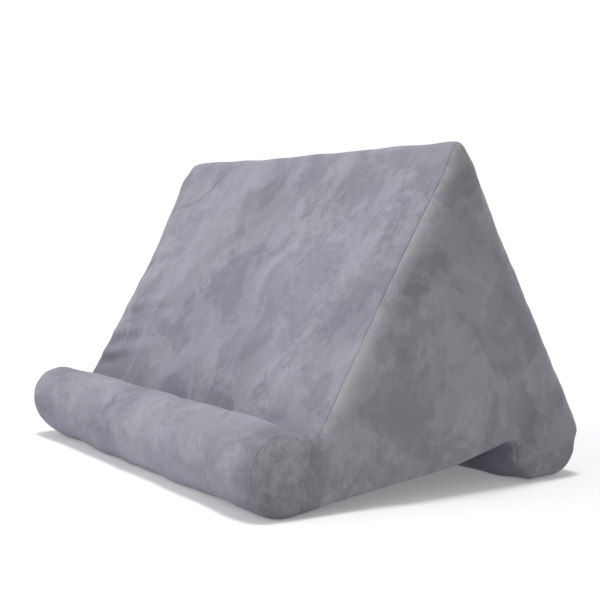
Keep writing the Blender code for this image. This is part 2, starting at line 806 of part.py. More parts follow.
def comb_outline(side, shift):
    """A bead along the tape's edge with teeth that reach past the zip's middle line."""
    points = [(-chain_half, side * bead_outer), (chain_half, side * bead_outer)]
    count = int(2 * chain_half / zip_pitch) - 1
    points.append((chain_half, side * bead_inner))
    for k in reversed(range(count)):
        middle = -chain_half + zip_pitch * (k + 0.5) + shift
        for x, y in ((tooth_width / 2, bead_inner), (tooth_width / 2, -tooth_reach),
                     (-tooth_width / 2, -tooth_reach), (-tooth_width / 2, bead_inner)):
            points.append((middle + x, side * y))
    points.append((-chain_half, side * bead_inner))
    return points


def zip_half(name, side, shift):
    """One half of the zip: a tape whose beaded edge carries its teeth."""
    tape_low = chain_middle - tape_thickness / 2
    bead = (bead_inner + bead_outer) / 2
    tape = extruded(name, [(-tape_end, side * bead), (tape_end, side * bead),
                           (tape_end, side * (zip_half_width - layer_gap)),
                           (-tape_end, side * (zip_half_width - layer_gap))],
                    tape_low, tape_low + tape_thickness, zip_frame, zip_tape)
    comb = extruded(name + "_teeth", comb_outline(side, shift), chain_middle - tooth_thickness / 2,
                    chain_middle + tooth_thickness / 2, zip_frame, zip_tape)
    hide_cutter(comb)
    cut(tape, comb, "UNION")


zip_half("zip_tape_front", 1, 0.0)
zip_half("zip_tape_rear", -1, zip_pitch / 2)


def zip_stop(name, side):
    """A clamp at the chain's end: a shank between the tapes and a flange over them."""
    near, far = chain_half + layer_gap, chain_half + layer_gap + stop_length
    over = chain_middle + tape_thickness / 2 + layer_gap
    shank = bead_inner - layer_gap
    root = chain_middle - tape_thickness / 2
    outline = [(-shank, root), (shank, root), (shank, over), (bead_outer, over),
               (bead_outer, chain_proud), (-bead_outer, chain_proud), (-bead_outer, over),
               (-shank, over)]
    low, high = (near, far) if side > 0 else (-far, -near)
    extruded(name, outline, low, high, zip_frame @ along_x, zip_metal)


zip_stop("zip_stop_right", 1)
zip_stop("zip_stop_left", -1)

# Slider: a plate over the chain with flanges down its sides and a bridge for the pull
plate_low = chain_proud + layer_gap
plate_high = plate_low + slider_plate
flange_low = chain_middle + tape_thickness / 2 + layer_gap
flange_near = bead_outer + layer_gap
flange_far = flange_near + slider_flange
slider_rest = chain_half - slider_length / 2 - layer_gap
slide_frame = zip_frame @ Matrix.Translation((slider_rest, 0, 0))
slider_outline = [(-flange_far, flange_low), (-flange_near, flange_low), (-flange_near, plate_low),
                  (flange_near, plate_low), (flange_near, flange_low), (flange_far, flange_low),
                  (flange_far, plate_high), (-flange_far, plate_high)]
zip_slider = extruded("zip_slider", slider_outline, -slider_length / 2, slider_length / 2,
                      slide_frame @ along_x, zip_metal)
bridge_top = plate_high + bridge_height
bridge_inner = bridge_length / 2 - bridge_thickness
bridge_end = bridge_length / 2
bridge_root = plate_high - slider_plate / 2
bridge_roof = bridge_top - bridge_thickness
bridge_outline = [(-bridge_end, bridge_root), (-bridge_end, bridge_roof), (-bridge_inner, bridge_top),
                  (bridge_inner, bridge_top), (bridge_end, bridge_roof), (bridge_end, bridge_root),
                  (bridge_inner, bridge_root), (bridge_inner, bridge_roof),
                  (-bridge_inner, bridge_roof), (-bridge_inner, bridge_root)]
bridge = extruded("slider_bridge", bridge_outline, -bridge_width / 2, bridge_width / 2,
                  slide_frame @ across_y, zip_metal)
hide_cutter(bridge)
cut(zip_slider, bridge, "UNION")
slider_pivot = pivot("slider_pivot", slide_frame)
carry(zip_slider, slider_pivot)

# Pull: a tab with a window round the bridge, hanging until its tip almost meets the floor
bar_height = plate_high + (bridge_height - bridge_thickness) / 2
bar_frame = slide_frame @ Matrix.Translation((0, 0, bar_height))
drop = bar_frame.translation.z - pull_floor_gap - pull_bar / 2
hang = math.asin(drop / pull_length)
pull_frame = bar_frame @ Matrix.Rotation(hang, 4, "Y")
pull_outline = [(pull_bar / 2, -pull_width / 2), (-pull_window, -pull_width / 2),
                (-pull_length, -pull_tip_width / 2), (-pull_length, pull_tip_width / 2),
                (-pull_window, pull_width / 2), (pull_bar / 2, pull_width / 2)]
zip_pull = extruded("zip_pull", pull_outline, -pull_bar / 2, pull_bar / 2, pull_frame, zip_metal)
window_half = bridge_width / 2 + 2 * layer_gap
window_outline = [(-pull_bar / 2, -window_half), (-pull_bar / 2, window_half),
                  (-pull_window, window_half), (-pull_window, -window_half)]
window_cutter = extruded("pull_window", window_outline, -pull_bar, pull_bar, pull_frame, zip_metal)
hide_cutter(window_cutter)
cut(zip_pull, window_cutter)
pull_pivot = pivot("pull_pivot", bar_frame)
carry(zip_pull, pull_pivot)
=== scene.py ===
"""Tablet cushion stand: a napped suede cover sewn over foam, with a net pocket on its rear
face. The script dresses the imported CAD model, piece by piece, in metres, in its own frame."""
import math

import bmesh
import bpy
import numpy as np
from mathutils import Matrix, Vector
from mathutils.geometry import delaunay_2d_cdt


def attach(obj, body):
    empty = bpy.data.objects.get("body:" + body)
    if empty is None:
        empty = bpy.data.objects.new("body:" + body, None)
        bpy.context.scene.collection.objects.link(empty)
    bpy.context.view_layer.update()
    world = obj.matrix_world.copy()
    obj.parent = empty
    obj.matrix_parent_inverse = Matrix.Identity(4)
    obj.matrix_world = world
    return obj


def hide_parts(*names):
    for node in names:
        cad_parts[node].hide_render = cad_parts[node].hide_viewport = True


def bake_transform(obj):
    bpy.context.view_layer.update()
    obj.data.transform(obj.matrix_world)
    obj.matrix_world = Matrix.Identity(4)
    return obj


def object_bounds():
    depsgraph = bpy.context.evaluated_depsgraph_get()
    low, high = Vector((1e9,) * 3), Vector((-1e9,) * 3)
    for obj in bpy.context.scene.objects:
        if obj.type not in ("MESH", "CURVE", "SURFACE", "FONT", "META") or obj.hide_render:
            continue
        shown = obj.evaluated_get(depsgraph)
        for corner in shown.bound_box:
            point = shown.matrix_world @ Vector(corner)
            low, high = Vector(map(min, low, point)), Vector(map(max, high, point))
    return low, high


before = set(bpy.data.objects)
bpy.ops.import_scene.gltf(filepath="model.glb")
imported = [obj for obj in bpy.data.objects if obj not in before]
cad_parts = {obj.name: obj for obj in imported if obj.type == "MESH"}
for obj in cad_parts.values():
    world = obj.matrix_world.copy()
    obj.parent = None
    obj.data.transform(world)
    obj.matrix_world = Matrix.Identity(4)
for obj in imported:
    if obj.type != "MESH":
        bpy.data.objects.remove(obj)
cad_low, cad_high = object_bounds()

# Cover, its shape. The real cover is cut from napped polyester suede: a wrap of five
# panels that runs round the wedge, its front roll and its rear foot, and two end panels.
# One end outline gives all of them, its y counted from the foremost point.
mm = 0.001
depth, height = 229 * mm, 192.5 * mm
groove, roll_high, roll_low, arch_start, arch_inner, foot_front, foot_rear, rear_bend, ridge = range(9)
corners = mm * np.array([(41.8, 38.5), (0, 60.74), (0, -3.68), (134.8, 13.58), (179, 24.93),
                         (179, -0.55), (229, -0.55), (229, 27), (134.04, 197.62)])
radii = mm * np.array([3, 23, 23, 15, 5, 10, 16, 12, 5])
straight_half = 148.2 * mm
end_radius = 8 * mm
end_bulge, bulge_reach = 3 * mm, 25 * mm
face_crown = 3 * mm
cloth = 1.2 * mm
heading = np.roll(corners, -1, axis=0) - corners
heading /= np.linalg.norm(heading, axis=1)[:, None]
before = np.roll(heading, 1, axis=0)
turn = np.arctan2(before[:, 0] * heading[:, 1] - before[:, 1] * heading[:, 0], (before * heading).sum(1))
side = np.sign(turn)
first_angle = np.arctan2(-before[:, 0], before[:, 1])
inward = np.stack([-before[:, 1], before[:, 0]], axis=1)


def rounded_corners(inset):
    """Start, end, centre and radius of each corner's arc on the outline set in by inset (n,).

    The mitred corner moves inwards, and its arc loses the inset where the outline turns left
    and gains it where it turns right.
    """
    inset = np.asarray(inset, float)[:, None]
    moved = corners + inset[..., None] * (inward - before * np.tan(turn / 2)[:, None])
    radius = np.maximum(radii - side * inset, 0.3 * mm)
    reach = (radius * np.tan(np.abs(turn) / 2))[..., None]
    starts = moved - before * reach
    return starts, moved + heading * reach, starts + inward * (radius * side)[..., None], radius


arc_start, arc_end, _, _ = (a[0] for a in rounded_corners([0.0]))
face_length = np.linalg.norm(np.roll(arc_start, -1, axis=0) - arc_end, axis=1)
part_length = np.stack([np.abs(turn) * radii, face_length], axis=1).ravel()
part_start = np.concatenate([[0], np.cumsum(part_length)])
around = part_start[-1]


def outline(s, inset):
    """Points and outward normals (rows, n, 2) at lengths s round the outline, one row per inset.

    Even parts of the way are the corners' arcs and odd ones the faces between them. A point
    keeps its share of its part when the outline is set in.
    """
    s = np.mod(s, around)
    part = np.minimum(np.searchsorted(part_start, s, side="right") - 1, 2 * len(corners) - 1)
    corner, bent = part // 2, (part % 2 == 0)[:, None]
    share = (s - part_start[part]) / part_length[part]
    starts, ends, centres, radius = rounded_corners(inset)
    angle = first_angle[corner] + turn[corner] * share
    spoke = np.stack([np.cos(angle), np.sin(angle)], axis=-1)
    on_arc = centres[:, corner] + spoke * (radius * side)[:, corner, None]
    after = (corner + 1) % len(corners)
    on_face = ends[:, corner] + (starts[:, after] - ends[:, corner]) * share[:, None]
    facing = np.stack([heading[corner, 1], -heading[corner, 0]], axis=-1)
    points = np.where(bent, on_arc, on_face)
    return points, np.broadcast_to(np.where(bent, spoke, facing), points.shape)


def crown(s):
    """How far the front and rear faces stand proud: a sine along the face, 0 at both ends."""
    s = np.mod(s, around)
    proud = np.zeros_like(s)
    for face in (2 * ridge + 1, 2 * rear_bend + 1):
        share = (s - part_start[face]) / part_length[face]
        proud += face_crown * np.sin(math.pi * np.clip(share, 0, 1))
    return proud


def swell(points, wave, seed):
    """Smooth noise of about unit height: the sum of sixteen plane waves of random direction."""
    rng = np.random.default_rng(seed)
    ways = rng.normal(size=(16, 3))
    ways /= np.linalg.norm(ways, axis=1)[:, None]
    ways *= 2 * math.pi / (wave * rng.uniform(0.7, 1.5, (16, 1)))
    return np.sin(points @ ways.T + rng.uniform(0, 2 * math.pi, 16)).sum(axis=-1) / math.sqrt(8)


def ramp(value, start, end):
    """A share that goes evenly from 0 where the value is start to 1 where it is end."""
    return np.clip((value - start) / (end - start), 0, 1)


def smooth(value, start, end):
    """The same share with smooth ends, 3 t^2 - 2 t^3."""
    share = ramp(value, start, end)
    return share * share * (3 - 2 * share)


def bell(value, middle, width):
    """A bell curve of unit height, exp(-((value - middle) / width)^2)."""
    return np.exp(-(((value - middle) / width) ** 2))


def placed(points):
    """World points of the plain shape with the filled cover's own unevenness.

    It is worked out in millimetres, and each move is an amount times ramps and bells of the
    place. The length keeps 1 - 0.006 sin(pi z / height) of itself. The top corners are fuller,
    by 8.5 mm on the left and 2 mm on the right. The ridge waves and rises to the right; at the
    left it is 1.6 mm up, and then rounded off. The front's upper left stands out by 2.6 mm, and
    the rear by 2 mm near its ends. The foot's rear edge is worn in by 3 mm at the floor, and its
    front edge bulges by 2.5 mm and is rounded off at the ends. The roll's left end is tilted and
    1 mm up, and its right end narrows towards the roll's axis by up to 14 %.
    """
    x, y, z = points[..., 0] / mm, (points[..., 1] - depth / 2) / mm, np.maximum(points[..., 2], 0) / mm
    half = straight_half / mm
    near_end = ramp(np.abs(x), 80, 148) ** 2
    high = ramp(z, 140, 190) ** 2
    left = smooth(x, -60, -120)
    keep = 1 - 0.006 * np.sin(math.pi * np.clip(z * mm / height, 0, 1))
    fuller = near_end * bell(z, 177, 18) * np.where(x < 0, -8.5, 2)
    wave = 0.2 * (np.sin(x / 13 + 1) + np.sin(x / 7.1))
    left_top = high * (1.6 * left - 5 * ramp(x, -138, -158) ** 2)
    left_front = left * (2 * bell(z, 183, 9) + 2.6 * bell(z, 152, 15))
    behind = 2 * near_end * ramp(y, -20, 40) * np.sin(math.pi * ramp(z, 20, 190))
    low_rear = 1.3 * near_end * ramp(y, 60, 80) * bell(z, 45, 22)
    worn = ramp(z, 32, 0) * ramp(y, 65, 110)
    foot_end = smooth(np.abs(x), 130, 150) * smooth(y, 48, 60)
    foot_round = bell(y, 64.5, 14) * (8 * foot_end * ramp(z, 24, 0) ** 2 - 2.5 * bell(z, 8, 11))
    tilt = ramp(x, -118, -148) ** 2 * ramp(y, -74, -88)
    taper = 0.14 * ramp(x, 133, 154) ** 2 * ramp(y, -70, -82)
    x = x * (keep - 4 / half * worn) + fuller - 0.18 * tilt * (z - 20)
    y = y - 3 * worn + behind - 0.07 * tilt * (z - 20) - taper * (y + 88)
    y = y - left_front * (y < 30) + low_rear + foot_round
    z = z + high * (1.2 + 0.5 * x / half + wave) + 1.2 * tilt + left_top
    z = z - taper * np.maximum(z - 27, 0)
    return np.stack([x, y, z], axis=-1) * mm


# Cover, how it is filled. The foam fills the cover tightly, so a cloth simulation blows up a
# slightly smaller closed body, held at its seams, and the panels take on how far it moved.
seam_turn = math.radians(25)


def grid_faces(rows, columns, closed=False):
    """Quads of a grid of points, closed round its columns if asked, facing outwards."""
    i, j = np.meshgrid(np.arange(rows - 1), np.arange(columns - (not closed)), indexing="ij")
    a, b = i * columns + j, i * columns + (j + 1) % columns
    return np.stack([a, b, b + columns, a + columns], axis=-1).reshape(-1, 4)


def closed_faces(rings, count):
    """Faces of rings of count points each, closed round them and at both ends, facing outwards."""
    ends = [list(range(count))[::-1], list(range((rings - 1) * count, rings * count))]
    return grid_faces(rings, count, closed=True).tolist() + ends


def set_all(thing, **values):
    """Sets several attributes of a thing."""
    for key, value in values.items():
        setattr(thing, key, value)


def modify(piece, kind, **settings):
    """Gives a piece a modifier with its settings."""
    made = piece.modifiers.new(kind.title(), kind)
    set_all(made, **settings)
    return made


def new_object(name, data):
    """An object in the scene that shows some data."""
    made = bpy.data.objects.new(name, data)
    bpy.context.scene.collection.objects.link(made)
    return made


def new_piece(name, points, faces):
    """A smooth mesh object of points and faces."""
    mesh = bpy.data.meshes.new(name)
    faces = faces if isinstance(faces, list) else faces.tolist()
    mesh.from_pydata(np.asarray(points, float).reshape(-1, 3).tolist(), [], faces)
    mesh.shade_smooth()
    return new_object(name, mesh)


def closed_body(name, points):
    """A closed mesh object from rings of points (rings, around, 3), with its two ends filled."""
    return new_piece(name, points, closed_faces(*points.shape[:2]))


def wrap_points(s, x, theta, layer=0.0):
    """Points and normals (rows, n, 3) of the wrap at a depth, one ring per x and shoulder angle.

    A ring leaves the straight part at its x and turns in along an arc of the end radius.
    """
    radius = end_radius - layer
    at = np.sign(x) * radius * np.sin(theta) + x
    yz, normal = outline(s, end_radius - radius * np.cos(theta))
    proud = crown(s) * (1 - np.clip(x / straight_half, -1, 1) ** 2)[:, None]
    yz = yz + normal * proud[..., None]
    rows = np.broadcast_to(at[:, None, None], (*yz.shape[:2], 1))
    lean = np.broadcast_to(theta[:, None, None], rows.shape)
    out = np.concatenate([np.sign(rows) * np.sin(lean), normal * np.cos(lean)], axis=-1)
    return np.concatenate([rows, yz], axis=-1), out


def end_fill(spacing, rings):
    """Flat layout of an end: its rings from the seam inwards, then a staggered grid of points.

    The rings' points lie twice as close as the grid's, so that the seam follows the wrap's edge.
    Returns their places round the outline, the grid's (y, z) points, the ring point or grid point
    that each vertex comes from, and triangles that face +X.
    """
    s = np.linspace(0, around, int(2 * around / spacing), endpoint=False)
    loops = outline(s, end_radius * (1 - np.cos(rings)))[0]
    count = len(s)
    rim = loops[-1]
    y, z = np.meshgrid(np.arange(spacing, depth, spacing), np.arange(spacing, height, spacing))
    inner = np.stack([y.ravel(), z.ravel()], axis=1)
    inner[:, 0] += spacing / 2 * (np.round(inner[:, 1] / spacing) % 2)
    after = np.roll(rim, -1, axis=0)
    crossing = (rim[:, 1] > inner[:, None, 1]) != (after[:, 1] > inner[:, None, 1])
    rise = np.where(after[:, 1] == rim[:, 1], mm, after[:, 1] - rim[:, 1])
    meet = rim[:, 0] + (inner[:, None, 1] - rim[:, 1]) * (after[:, 0] - rim[:, 0]) / rise
    inner = inner[(crossing & (inner[:, None, 0] < meet)).sum(axis=1) % 2 == 1]
    inner = inner[to_outline(inner) > end_radius + spacing / 2]
    flat = [Vector(p) for p in loops.reshape(-1, 2)] + [Vector(p) for p in inner]
    edges = [(first + k, first + (k + 1) % count)
             for first in range(0, count * len(rings), count) for k in range(count)]
    made = delaunay_2d_cdt(flat, edges, [list(range(count))], 1, 1e-6)
    origin = np.array([ids[0] for ids in made[3]])
    return s, inner, origin, np.array([tuple(face) for face in made[2]])


def to_outline(yz):
    """Distance of (y, z) points from the outline, as a polygon of two thousand edges."""
    ring = outline(np.linspace(0, around, 2000, endpoint=False), [0.0])[0][0]
    found = [np.linalg.norm(part[:, None] - ring, axis=-1).min(axis=1) for part in np.array_split(yz, 8)]
    return np.concatenate(found)


def end_points(spacing, rings):
    """Points, normals, seam distances and triangles of the right end, before it is narrowed.

    Its rounded shoulder is the wrap's, and inside it the end bulges, evenly beyond the reach.
    """
    s, inner, origin, faces = end_fill(spacing, rings)
    shoulder, out = wrap_points(s, np.full(len(rings), straight_half), rings)
    away = np.broadcast_to((end_radius * (rings - rings[0]))[:, None], shoulder.shape[:2])
    deep = to_outline(inner) - end_radius
    domed = straight_half + end_radius + end_bulge * (1 - bell(deep, 0, bulge_reach))
    points = np.concatenate([shoulder.reshape(-1, 3), np.column_stack([domed, inner])])
    normals = np.concatenate([out.reshape(-1, 3), np.tile([1.0, 0, 0], (len(inner), 1))])
    distance = np.concatenate([away.ravel(), deep + end_radius * (math.pi / 2 - rings[0])])
    return points[origin], normals[origin], distance[origin], faces


def seam_lengths():
    """Lengths round the outline of the five seams that run from end to end."""
    middle = {corner: part_start[2 * corner] + part_length[2 * corner] / 2
              for corner in (groove, arch_inner, rear_bend, ridge)}
    on_base = part_start[2 * roll_low + 1] - radii[roll_low] * math.tan(turn[roll_low] / 2)
    return middle[groove], on_base + zip_place, middle[arch_inner], middle[rear_bend], middle[ridge]


zip_place, zip_half_width, zip_half_length = 110.49 * mm, 7.7 * mm, 105 * mm
seams = np.array(seam_lengths())
seam_groove, seam_zip, seam_arch, seam_bend, seam_ridge = seams
blown_depth, blown_frames = 2.5 * mm, 20


def capped_rows(degrees, count):
    """x and shoulder angle of rings: one end's rounded cap, count rings between, the other cap."""
    lean = np.radians(degrees)
    cap = np.full(len(lean), straight_half)
    x = np.concatenate([-cap, np.linspace(-straight_half, straight_half, count), cap])
    return x, np.concatenate([lean, np.zeros(count), lean[::-1]])


def filled_body():
    """The closed body that is blown up: coarse rings a little inside the cover."""
    s = np.linspace(0, around, 200, endpoint=False)
    points, _ = wrap_points(s, *capped_rows([90, 65, 40, 20], 60), blown_depth)
    return closed_body("filled_body", placed(points))


def vertex_places(mesh):
    """A mesh's vertices as an array (n, 3)."""
    flat = np.empty(3 * len(mesh.vertices))
    mesh.vertices.foreach_get("co", flat)
    return flat.reshape(-1, 3)


def blown_up():
    """Rest and moved points of the filled body after twenty frames of pressure."""
    piece = filled_body()
    modify(piece, "REMESH", mode="VOXEL", voxel_size=5 * mm)
    even = bpy.data.meshes.new_from_object(piece.evaluated_get(bpy.context.evaluated_depsgraph_get()))
    piece.modifiers.clear()
    piece.data = even
    rest = vertex_places(even)
    held = piece.vertex_groups.new(name="seams")
    outer = rest[:, 1:] + (depth / 2, 0)
    ring = outline(seams, [blown_depth])[0][0]
    near_ring = np.linalg.norm(outer[:, None] - ring, axis=-1).min(axis=1) < 4 * mm
    near_end = (np.abs(rest[:, 0]) > 0.96 * straight_half) & (to_outline(outer) < 7 * mm)
    held.add(np.flatnonzero(near_ring | near_end).tolist(), 1.0, "REPLACE")
    blow = modify(piece, "CLOTH")
    set_all(blow.settings, quality=6, mass=0.3, tension_stiffness=12, compression_stiffness=12,
            bending_stiffness=0.4, vertex_group_mass="seams", use_pressure=True,
            uniform_pressure_force=4, shrink_min=-0.015)
    blow.settings.effector_weights.gravity = 0
    blow.collision_settings.use_collision = False
    scene = bpy.context.scene
    set_all(blow.point_cache, frame_start=1, frame_end=blown_frames)
    for number in range(1, blown_frames + 1):
        scene.frame_set(number)
    moved = vertex_places(piece.evaluated_get(bpy.context.evaluated_depsgraph_get()).data)
    scene.frame_set(1)
    bpy.data.objects.remove(piece)
    return rest, moved


cell, most_puff = 6 * mm, 1.8 * mm
field_low = np.array(cad_low) - 5 * cell
field_size = tuple(np.ceil((np.array(cad_high) - field_low) / cell).astype(int) + 6)


def cell_weights(points):
    """The eight cells round each point, and the share that each of them has of it."""
    at = (points - field_low) / cell
    base = np.floor(at).astype(int)
    part = at - base
    for corner in np.ndindex(2, 2, 2):
        share = np.prod(np.where(corner, part, 1 - part), axis=1)
        yield tuple((base + corner).T), share


def puff_field():
    """How far the cloth moved, spread over cells of 6 mm and evened out between neighbours."""
    field = np.zeros((*field_size, 4))
    rest, moved = blown_up()
    push = moved - rest
    far = np.linalg.norm(push, axis=1)
    push *= (most_puff * np.tanh(far / most_puff) / np.maximum(far, 1e-9))[:, None]
    for place, share in cell_weights(rest):
        np.add.at(field, place, np.column_stack([push * share[:, None], share]))
    for axis in range(3):
        field = (np.roll(field, 1, axis) + 2 * field + np.roll(field, -1, axis)) / 4
    return field


puff = puff_field()


def puffed(points):
    """The cloth's move at world points, the weighted mean of the cells round each."""
    flat = points.reshape(-1, 3)
    found = sum(puff[place] * share[:, None] for place, share in cell_weights(flat))
    return (found[:, :3] / np.maximum(found[:, 3:], 1e-6)).reshape(points.shape)


# Cover, its folds. The left end of the front is a little too big for the foam, so it is tucked
# beside the seam and creased across the top corner. Heights and places here are millimetres.
tucks = ((52, 1.0), (66, 1.0), (85, 0.8), (122, 0.6))
crease_x = (-160, -131, -119, -108, -100, -93, -88)
crease_z = (157, 161.4, 163, 166.5, 174, 182, 189.5)


def left_tucks(x, z):
    """Tucks that run in from the left seam: 1 on a ridge, -1.5 in the valley below it."""
    along = z - 0.15 * (x + 150)
    fold = 0
    for middle, share in tucks:
        fold = fold + share * (bell(along, middle + 4, 3.2) - 1.5 * bell(along, middle - 3, 3.6))
    return fold * np.exp(-np.maximum(x + 150, 0) / 38) * (x < 0)


def left_crease(x, z):
    """The crease: a share that is 1 beyond it, towards the corner, and one that is 1 in it."""
    over = z - np.interp(x, crease_x, crease_z)
    corner = smooth(x, -88, -96)
    return corner * smooth(over, 0, 12), corner * bell(over, 0, 1.2)


def left_folds(x, z):
    """How far the front stands out at its left end.

    The tucks are 2 mm high, the corner beyond the crease is swollen by 1 mm and the crease is
    1.3 mm deep, less towards the seam, and the face is hollow by 2 mm above the groove.
    """
    beyond, inside = left_crease(x, z)
    hollow = 2 * bell(x, -122, 24) * bell(z, 50, 12)
    return 2 * left_tucks(x, z) + beyond - 1.3 * inside * smooth(x, -165, -135) - hollow


def on_roll(world):
    """A share that is 1 on the front roll and 0 behind its groove."""
    return smooth(world[..., 1] / mm, -66, -74)


rear_top, snap_distance = part_start[2 * ridge], 27 * mm


def snap_frame():
    """Origin on the rear face at the snap, and the axes across, down the face and outwards."""
    d = np.array([snap_distance - mm, snap_distance, snap_distance + mm])
    flat = outline(rear_top - d, [0.0])
    yz = flat[0][0] + flat[1][0] * crown(rear_top - d)[:, None]
    place = placed(np.column_stack([np.zeros(3), yz]))
    down = (place[2] - place[0]) / np.linalg.norm(place[2] - place[0])
    return place[1], np.array([[1.0, 0, 0], down, np.cross([1.0, 0, 0], down)])


snap_origin, snap_axes = snap_frame()


def gather(points, normals, seam, ends):
    """World points of the filled cover, from points of the plain shape.

    They move by the puff, less near a seam; by uneven filling of 0.5 mm and the folds; and by
    puckers that fade away from the ends. A seam is sunk 0.6 mm in a wide dip, and in a narrow
    notch of about 0.1 mm that comes and goes, faint at mid-height and at the roll's ends, and
    1 mm deep at the groove's right. The dip is hardly there on the ridge and at the roll's ends.
    Nothing moves where the snap's rivet clamps the cover. seam is each point's distance from
    its nearest seam, and ends that from an end seam.
    """
    world = placed(points)
    seam, ends = seam / mm, ends / mm
    free = 1 - np.exp(-((np.linalg.norm(world - snap_origin, axis=-1) / (13 * mm)) ** 4))
    soft = free * (1 - np.exp(-seam / 6))
    world = world + puffed(world) * soft[..., None]
    place = world / mm
    x, y, z = np.moveaxis(place, -1, 0)
    roll = on_roll(world)
    notch = 0.11 + 0.12 * swell(place, 50, 6) + 0.07 * swell(place, 9, 7)
    notch = np.maximum(notch, 0) * (1 - 0.9 * roll * bell(ends, 0, 6)) * (1 - 0.8 * bell(z, 105, 35))
    notch = notch + 0.9 * bell(np.hypot(y + 72.7, z - 38.5), 0, 5) * smooth(x, 70, 110)
    sunk = notch * bell(seam, 0, 0.9) + 0.6 * np.exp(-seam / 5)
    sunk = sunk * (1 - 0.9 * smooth(z, 186, 190) * smooth(ends, 0, 7))
    sunk = sunk * (1 - 0.8 * roll * bell(ends, 0, 8))
    uneven = 0.35 * swell(place, 70, 3) + 0.2 * swell(place, 24, 4)
    pucker = 0.5 * swell(place * (0.25, 1, 1), 10, 5) * np.exp(-ends / 10)
    facing = np.clip(-1.2 * normals[..., 1], 0, 1) * (z > 42)
    moved = soft * (uneven + pucker + left_folds(x, z) * facing) - sunk
    world = world + normals * (moved * mm)[..., None]
    world[..., 2] = np.maximum(world[..., 2], 0)
    return world


# Cover, its cloth. Short-napped polyester suede in a lavender grey. Where a hand has brushed
# the nap it lies another way and turns lighter or darker, in clouds and small patches.
def set_inputs(tree, node, inputs):
    """Sets a node's inputs to values, or links them to sockets."""
    for key, value in inputs.items():
        if isinstance(value, bpy.types.NodeSocket):
            tree.links.new(value, node.inputs[key])
        else:
            node.inputs[key].default_value = value


def add_node(tree, kind, inputs=None, **settings):
    """A shader node with its settings and inputs."""
    made = tree.nodes.new("ShaderNode" + kind)
    set_all(made, **settings)
    set_inputs(tree, made, inputs or {})
    return made


def new_finish(name):
    """A material, its node tree, and the place on the object of the point that is shaded."""
    made = bpy.data.materials.new(name)
    made.use_nodes = True
    return made, made.node_tree, add_node(made.node_tree, "TexCoord").outputs["Object"]


def noise(tree, place, scale, detail, rough=0.6, twist=0.0, turn=0.0, stretch=(1, 1, 1)):
    """Noise with scale patches to the metre, stretched along axes that are turned about Y."""
    moved = add_node(tree, "Mapping", {"Vector": place, "Rotation": (0, turn, 0), "Scale": stretch},
                     vector_type="TEXTURE")
    return add_node(tree, "TexNoise", {
        "Vector": moved.outputs[0], "Scale": scale, "Detail": detail, "Roughness": rough,
        "Distortion": twist}).outputs["Fac"]


def spread(tree, value, low, high, new_low, new_high):
    """A value's range from low to high turned into another, with smooth ends."""
    return add_node(tree, "MapRange", {
        "Value": value, "From Min": low, "From Max": high, "To Min": new_low, "To Max": new_high},
        interpolation_type="SMOOTHSTEP").outputs["Result"]


def total(tree, *values, operation="ADD"):
    """The sum, or another operation's result, of several values."""
    found = values[0]
    for value in values[1:]:
        found = add_node(tree, "Math", {0: found, 1: value}, operation=operation).outputs[0]
    return found


def two_tones(tree, factor, dark, pale):
    """A colour between two, each of them three numbers or a socket, by a factor."""
    dark, pale = (tone if isinstance(tone, bpy.types.NodeSocket) else (*tone, 1) for tone in (dark, pale))
    return add_node(tree, "Mix", {0: factor, 6: dark, 7: pale}, data_type="RGBA").outputs[2]


def set_shader(tree, colour, height, distance, strength, values):
    """Gives the material's shader its colour, its bump and its other values."""
    bump = add_node(tree, "Bump", {"Height": height, "Distance": distance, "Strength": strength})
    set_inputs(tree, tree.nodes["Principled BSDF"],
               {"Normal": bump.outputs["Normal"], "Base Color": colour, **values})


def suede(name, dark, pale):
    """Suede: clouds and patches of nap brushed one way or the other, ruffled in places.

    A piece's shift attribute paints highlight on the nap where it is positive and shade where it is
    negative, and turns the colour greyer where the painted shade is deep.
    """
    made, tree, place = new_finish(name)
    wide = spread(tree, noise(tree, place, 10, 5, 0.55, 0.6), 0.42, 0.58, 0.0, 0.25)
    patch = spread(tree, noise(tree, place, 24, 8, 0.62, 0.5), 0.47, 0.53, 0.0, 0.26)
    small = spread(tree, noise(tree, place, 60, 7, 0.6, 0.4, 0.5, (1, 1, 1.3)), 0.45, 0.55, 0.0, 0.15)
    ruffled = spread(tree, noise(tree, place, 17, 4, 0.5), 0.48, 0.62, 0.2, 1.0)
    grain = spread(tree, noise(tree, place, 240, 5, 0.65, 0.6, 0.5, (1, 1, 1.5)), 0.38, 0.62, 0.0, 0.30)
    grain = total(tree, grain, ruffled, operation="MULTIPLY")
    fuzz = noise(tree, place, 1500, 3, 0.7)
    shift = add_node(tree, "Attribute", attribute_name="painted_light_shift").outputs["Fac"]
    nap = total(tree, wide, patch, small, grain, spread(tree, fuzz, 0.3, 0.7, 0.0, 0.15), shift)
    warm = [np.array(tone) * (0.996, 1.004, 0.982) for tone in (dark, pale)]
    # flat: greyer tones that the deepest painted shade turns to
    flat = [np.array(tone) * (0.99, 0.985, 0.92) for tone in (dark, pale)]
    hue = spread(tree, noise(tree, place, 14, 3), 0.42, 0.58, 0.0, 1.0)
    # The share of the painted shade that turns grey, full below a shift of -0.65.
    shade_greying = spread(tree, shift, -0.65, -0.2, 1.0, 0.0)
    lying = two_tones(tree, hue, two_tones(tree, nap, dark, pale), two_tones(tree, nap, *warm))
    colour = two_tones(tree, shade_greying, lying, two_tones(tree, nap, *flat))
    set_shader(tree, colour, total(tree, fuzz, grain, grain, patch), 0.25 * mm, 0.5, {
        "Roughness": 0.95, "Specular IOR Level": 0.15, "Sheen Weight": 0.35,
        "Sheen Roughness": 0.45, "Sheen Tint": (0.85, 0.85, 0.95, 1)})
    return made


front_suede = suede("front_suede", (0.240, 0.234, 0.286), (0.455, 0.448, 0.524))
end_suede = suede("end_suede", (0.226, 0.221, 0.250), (0.430, 0.425, 0.462))

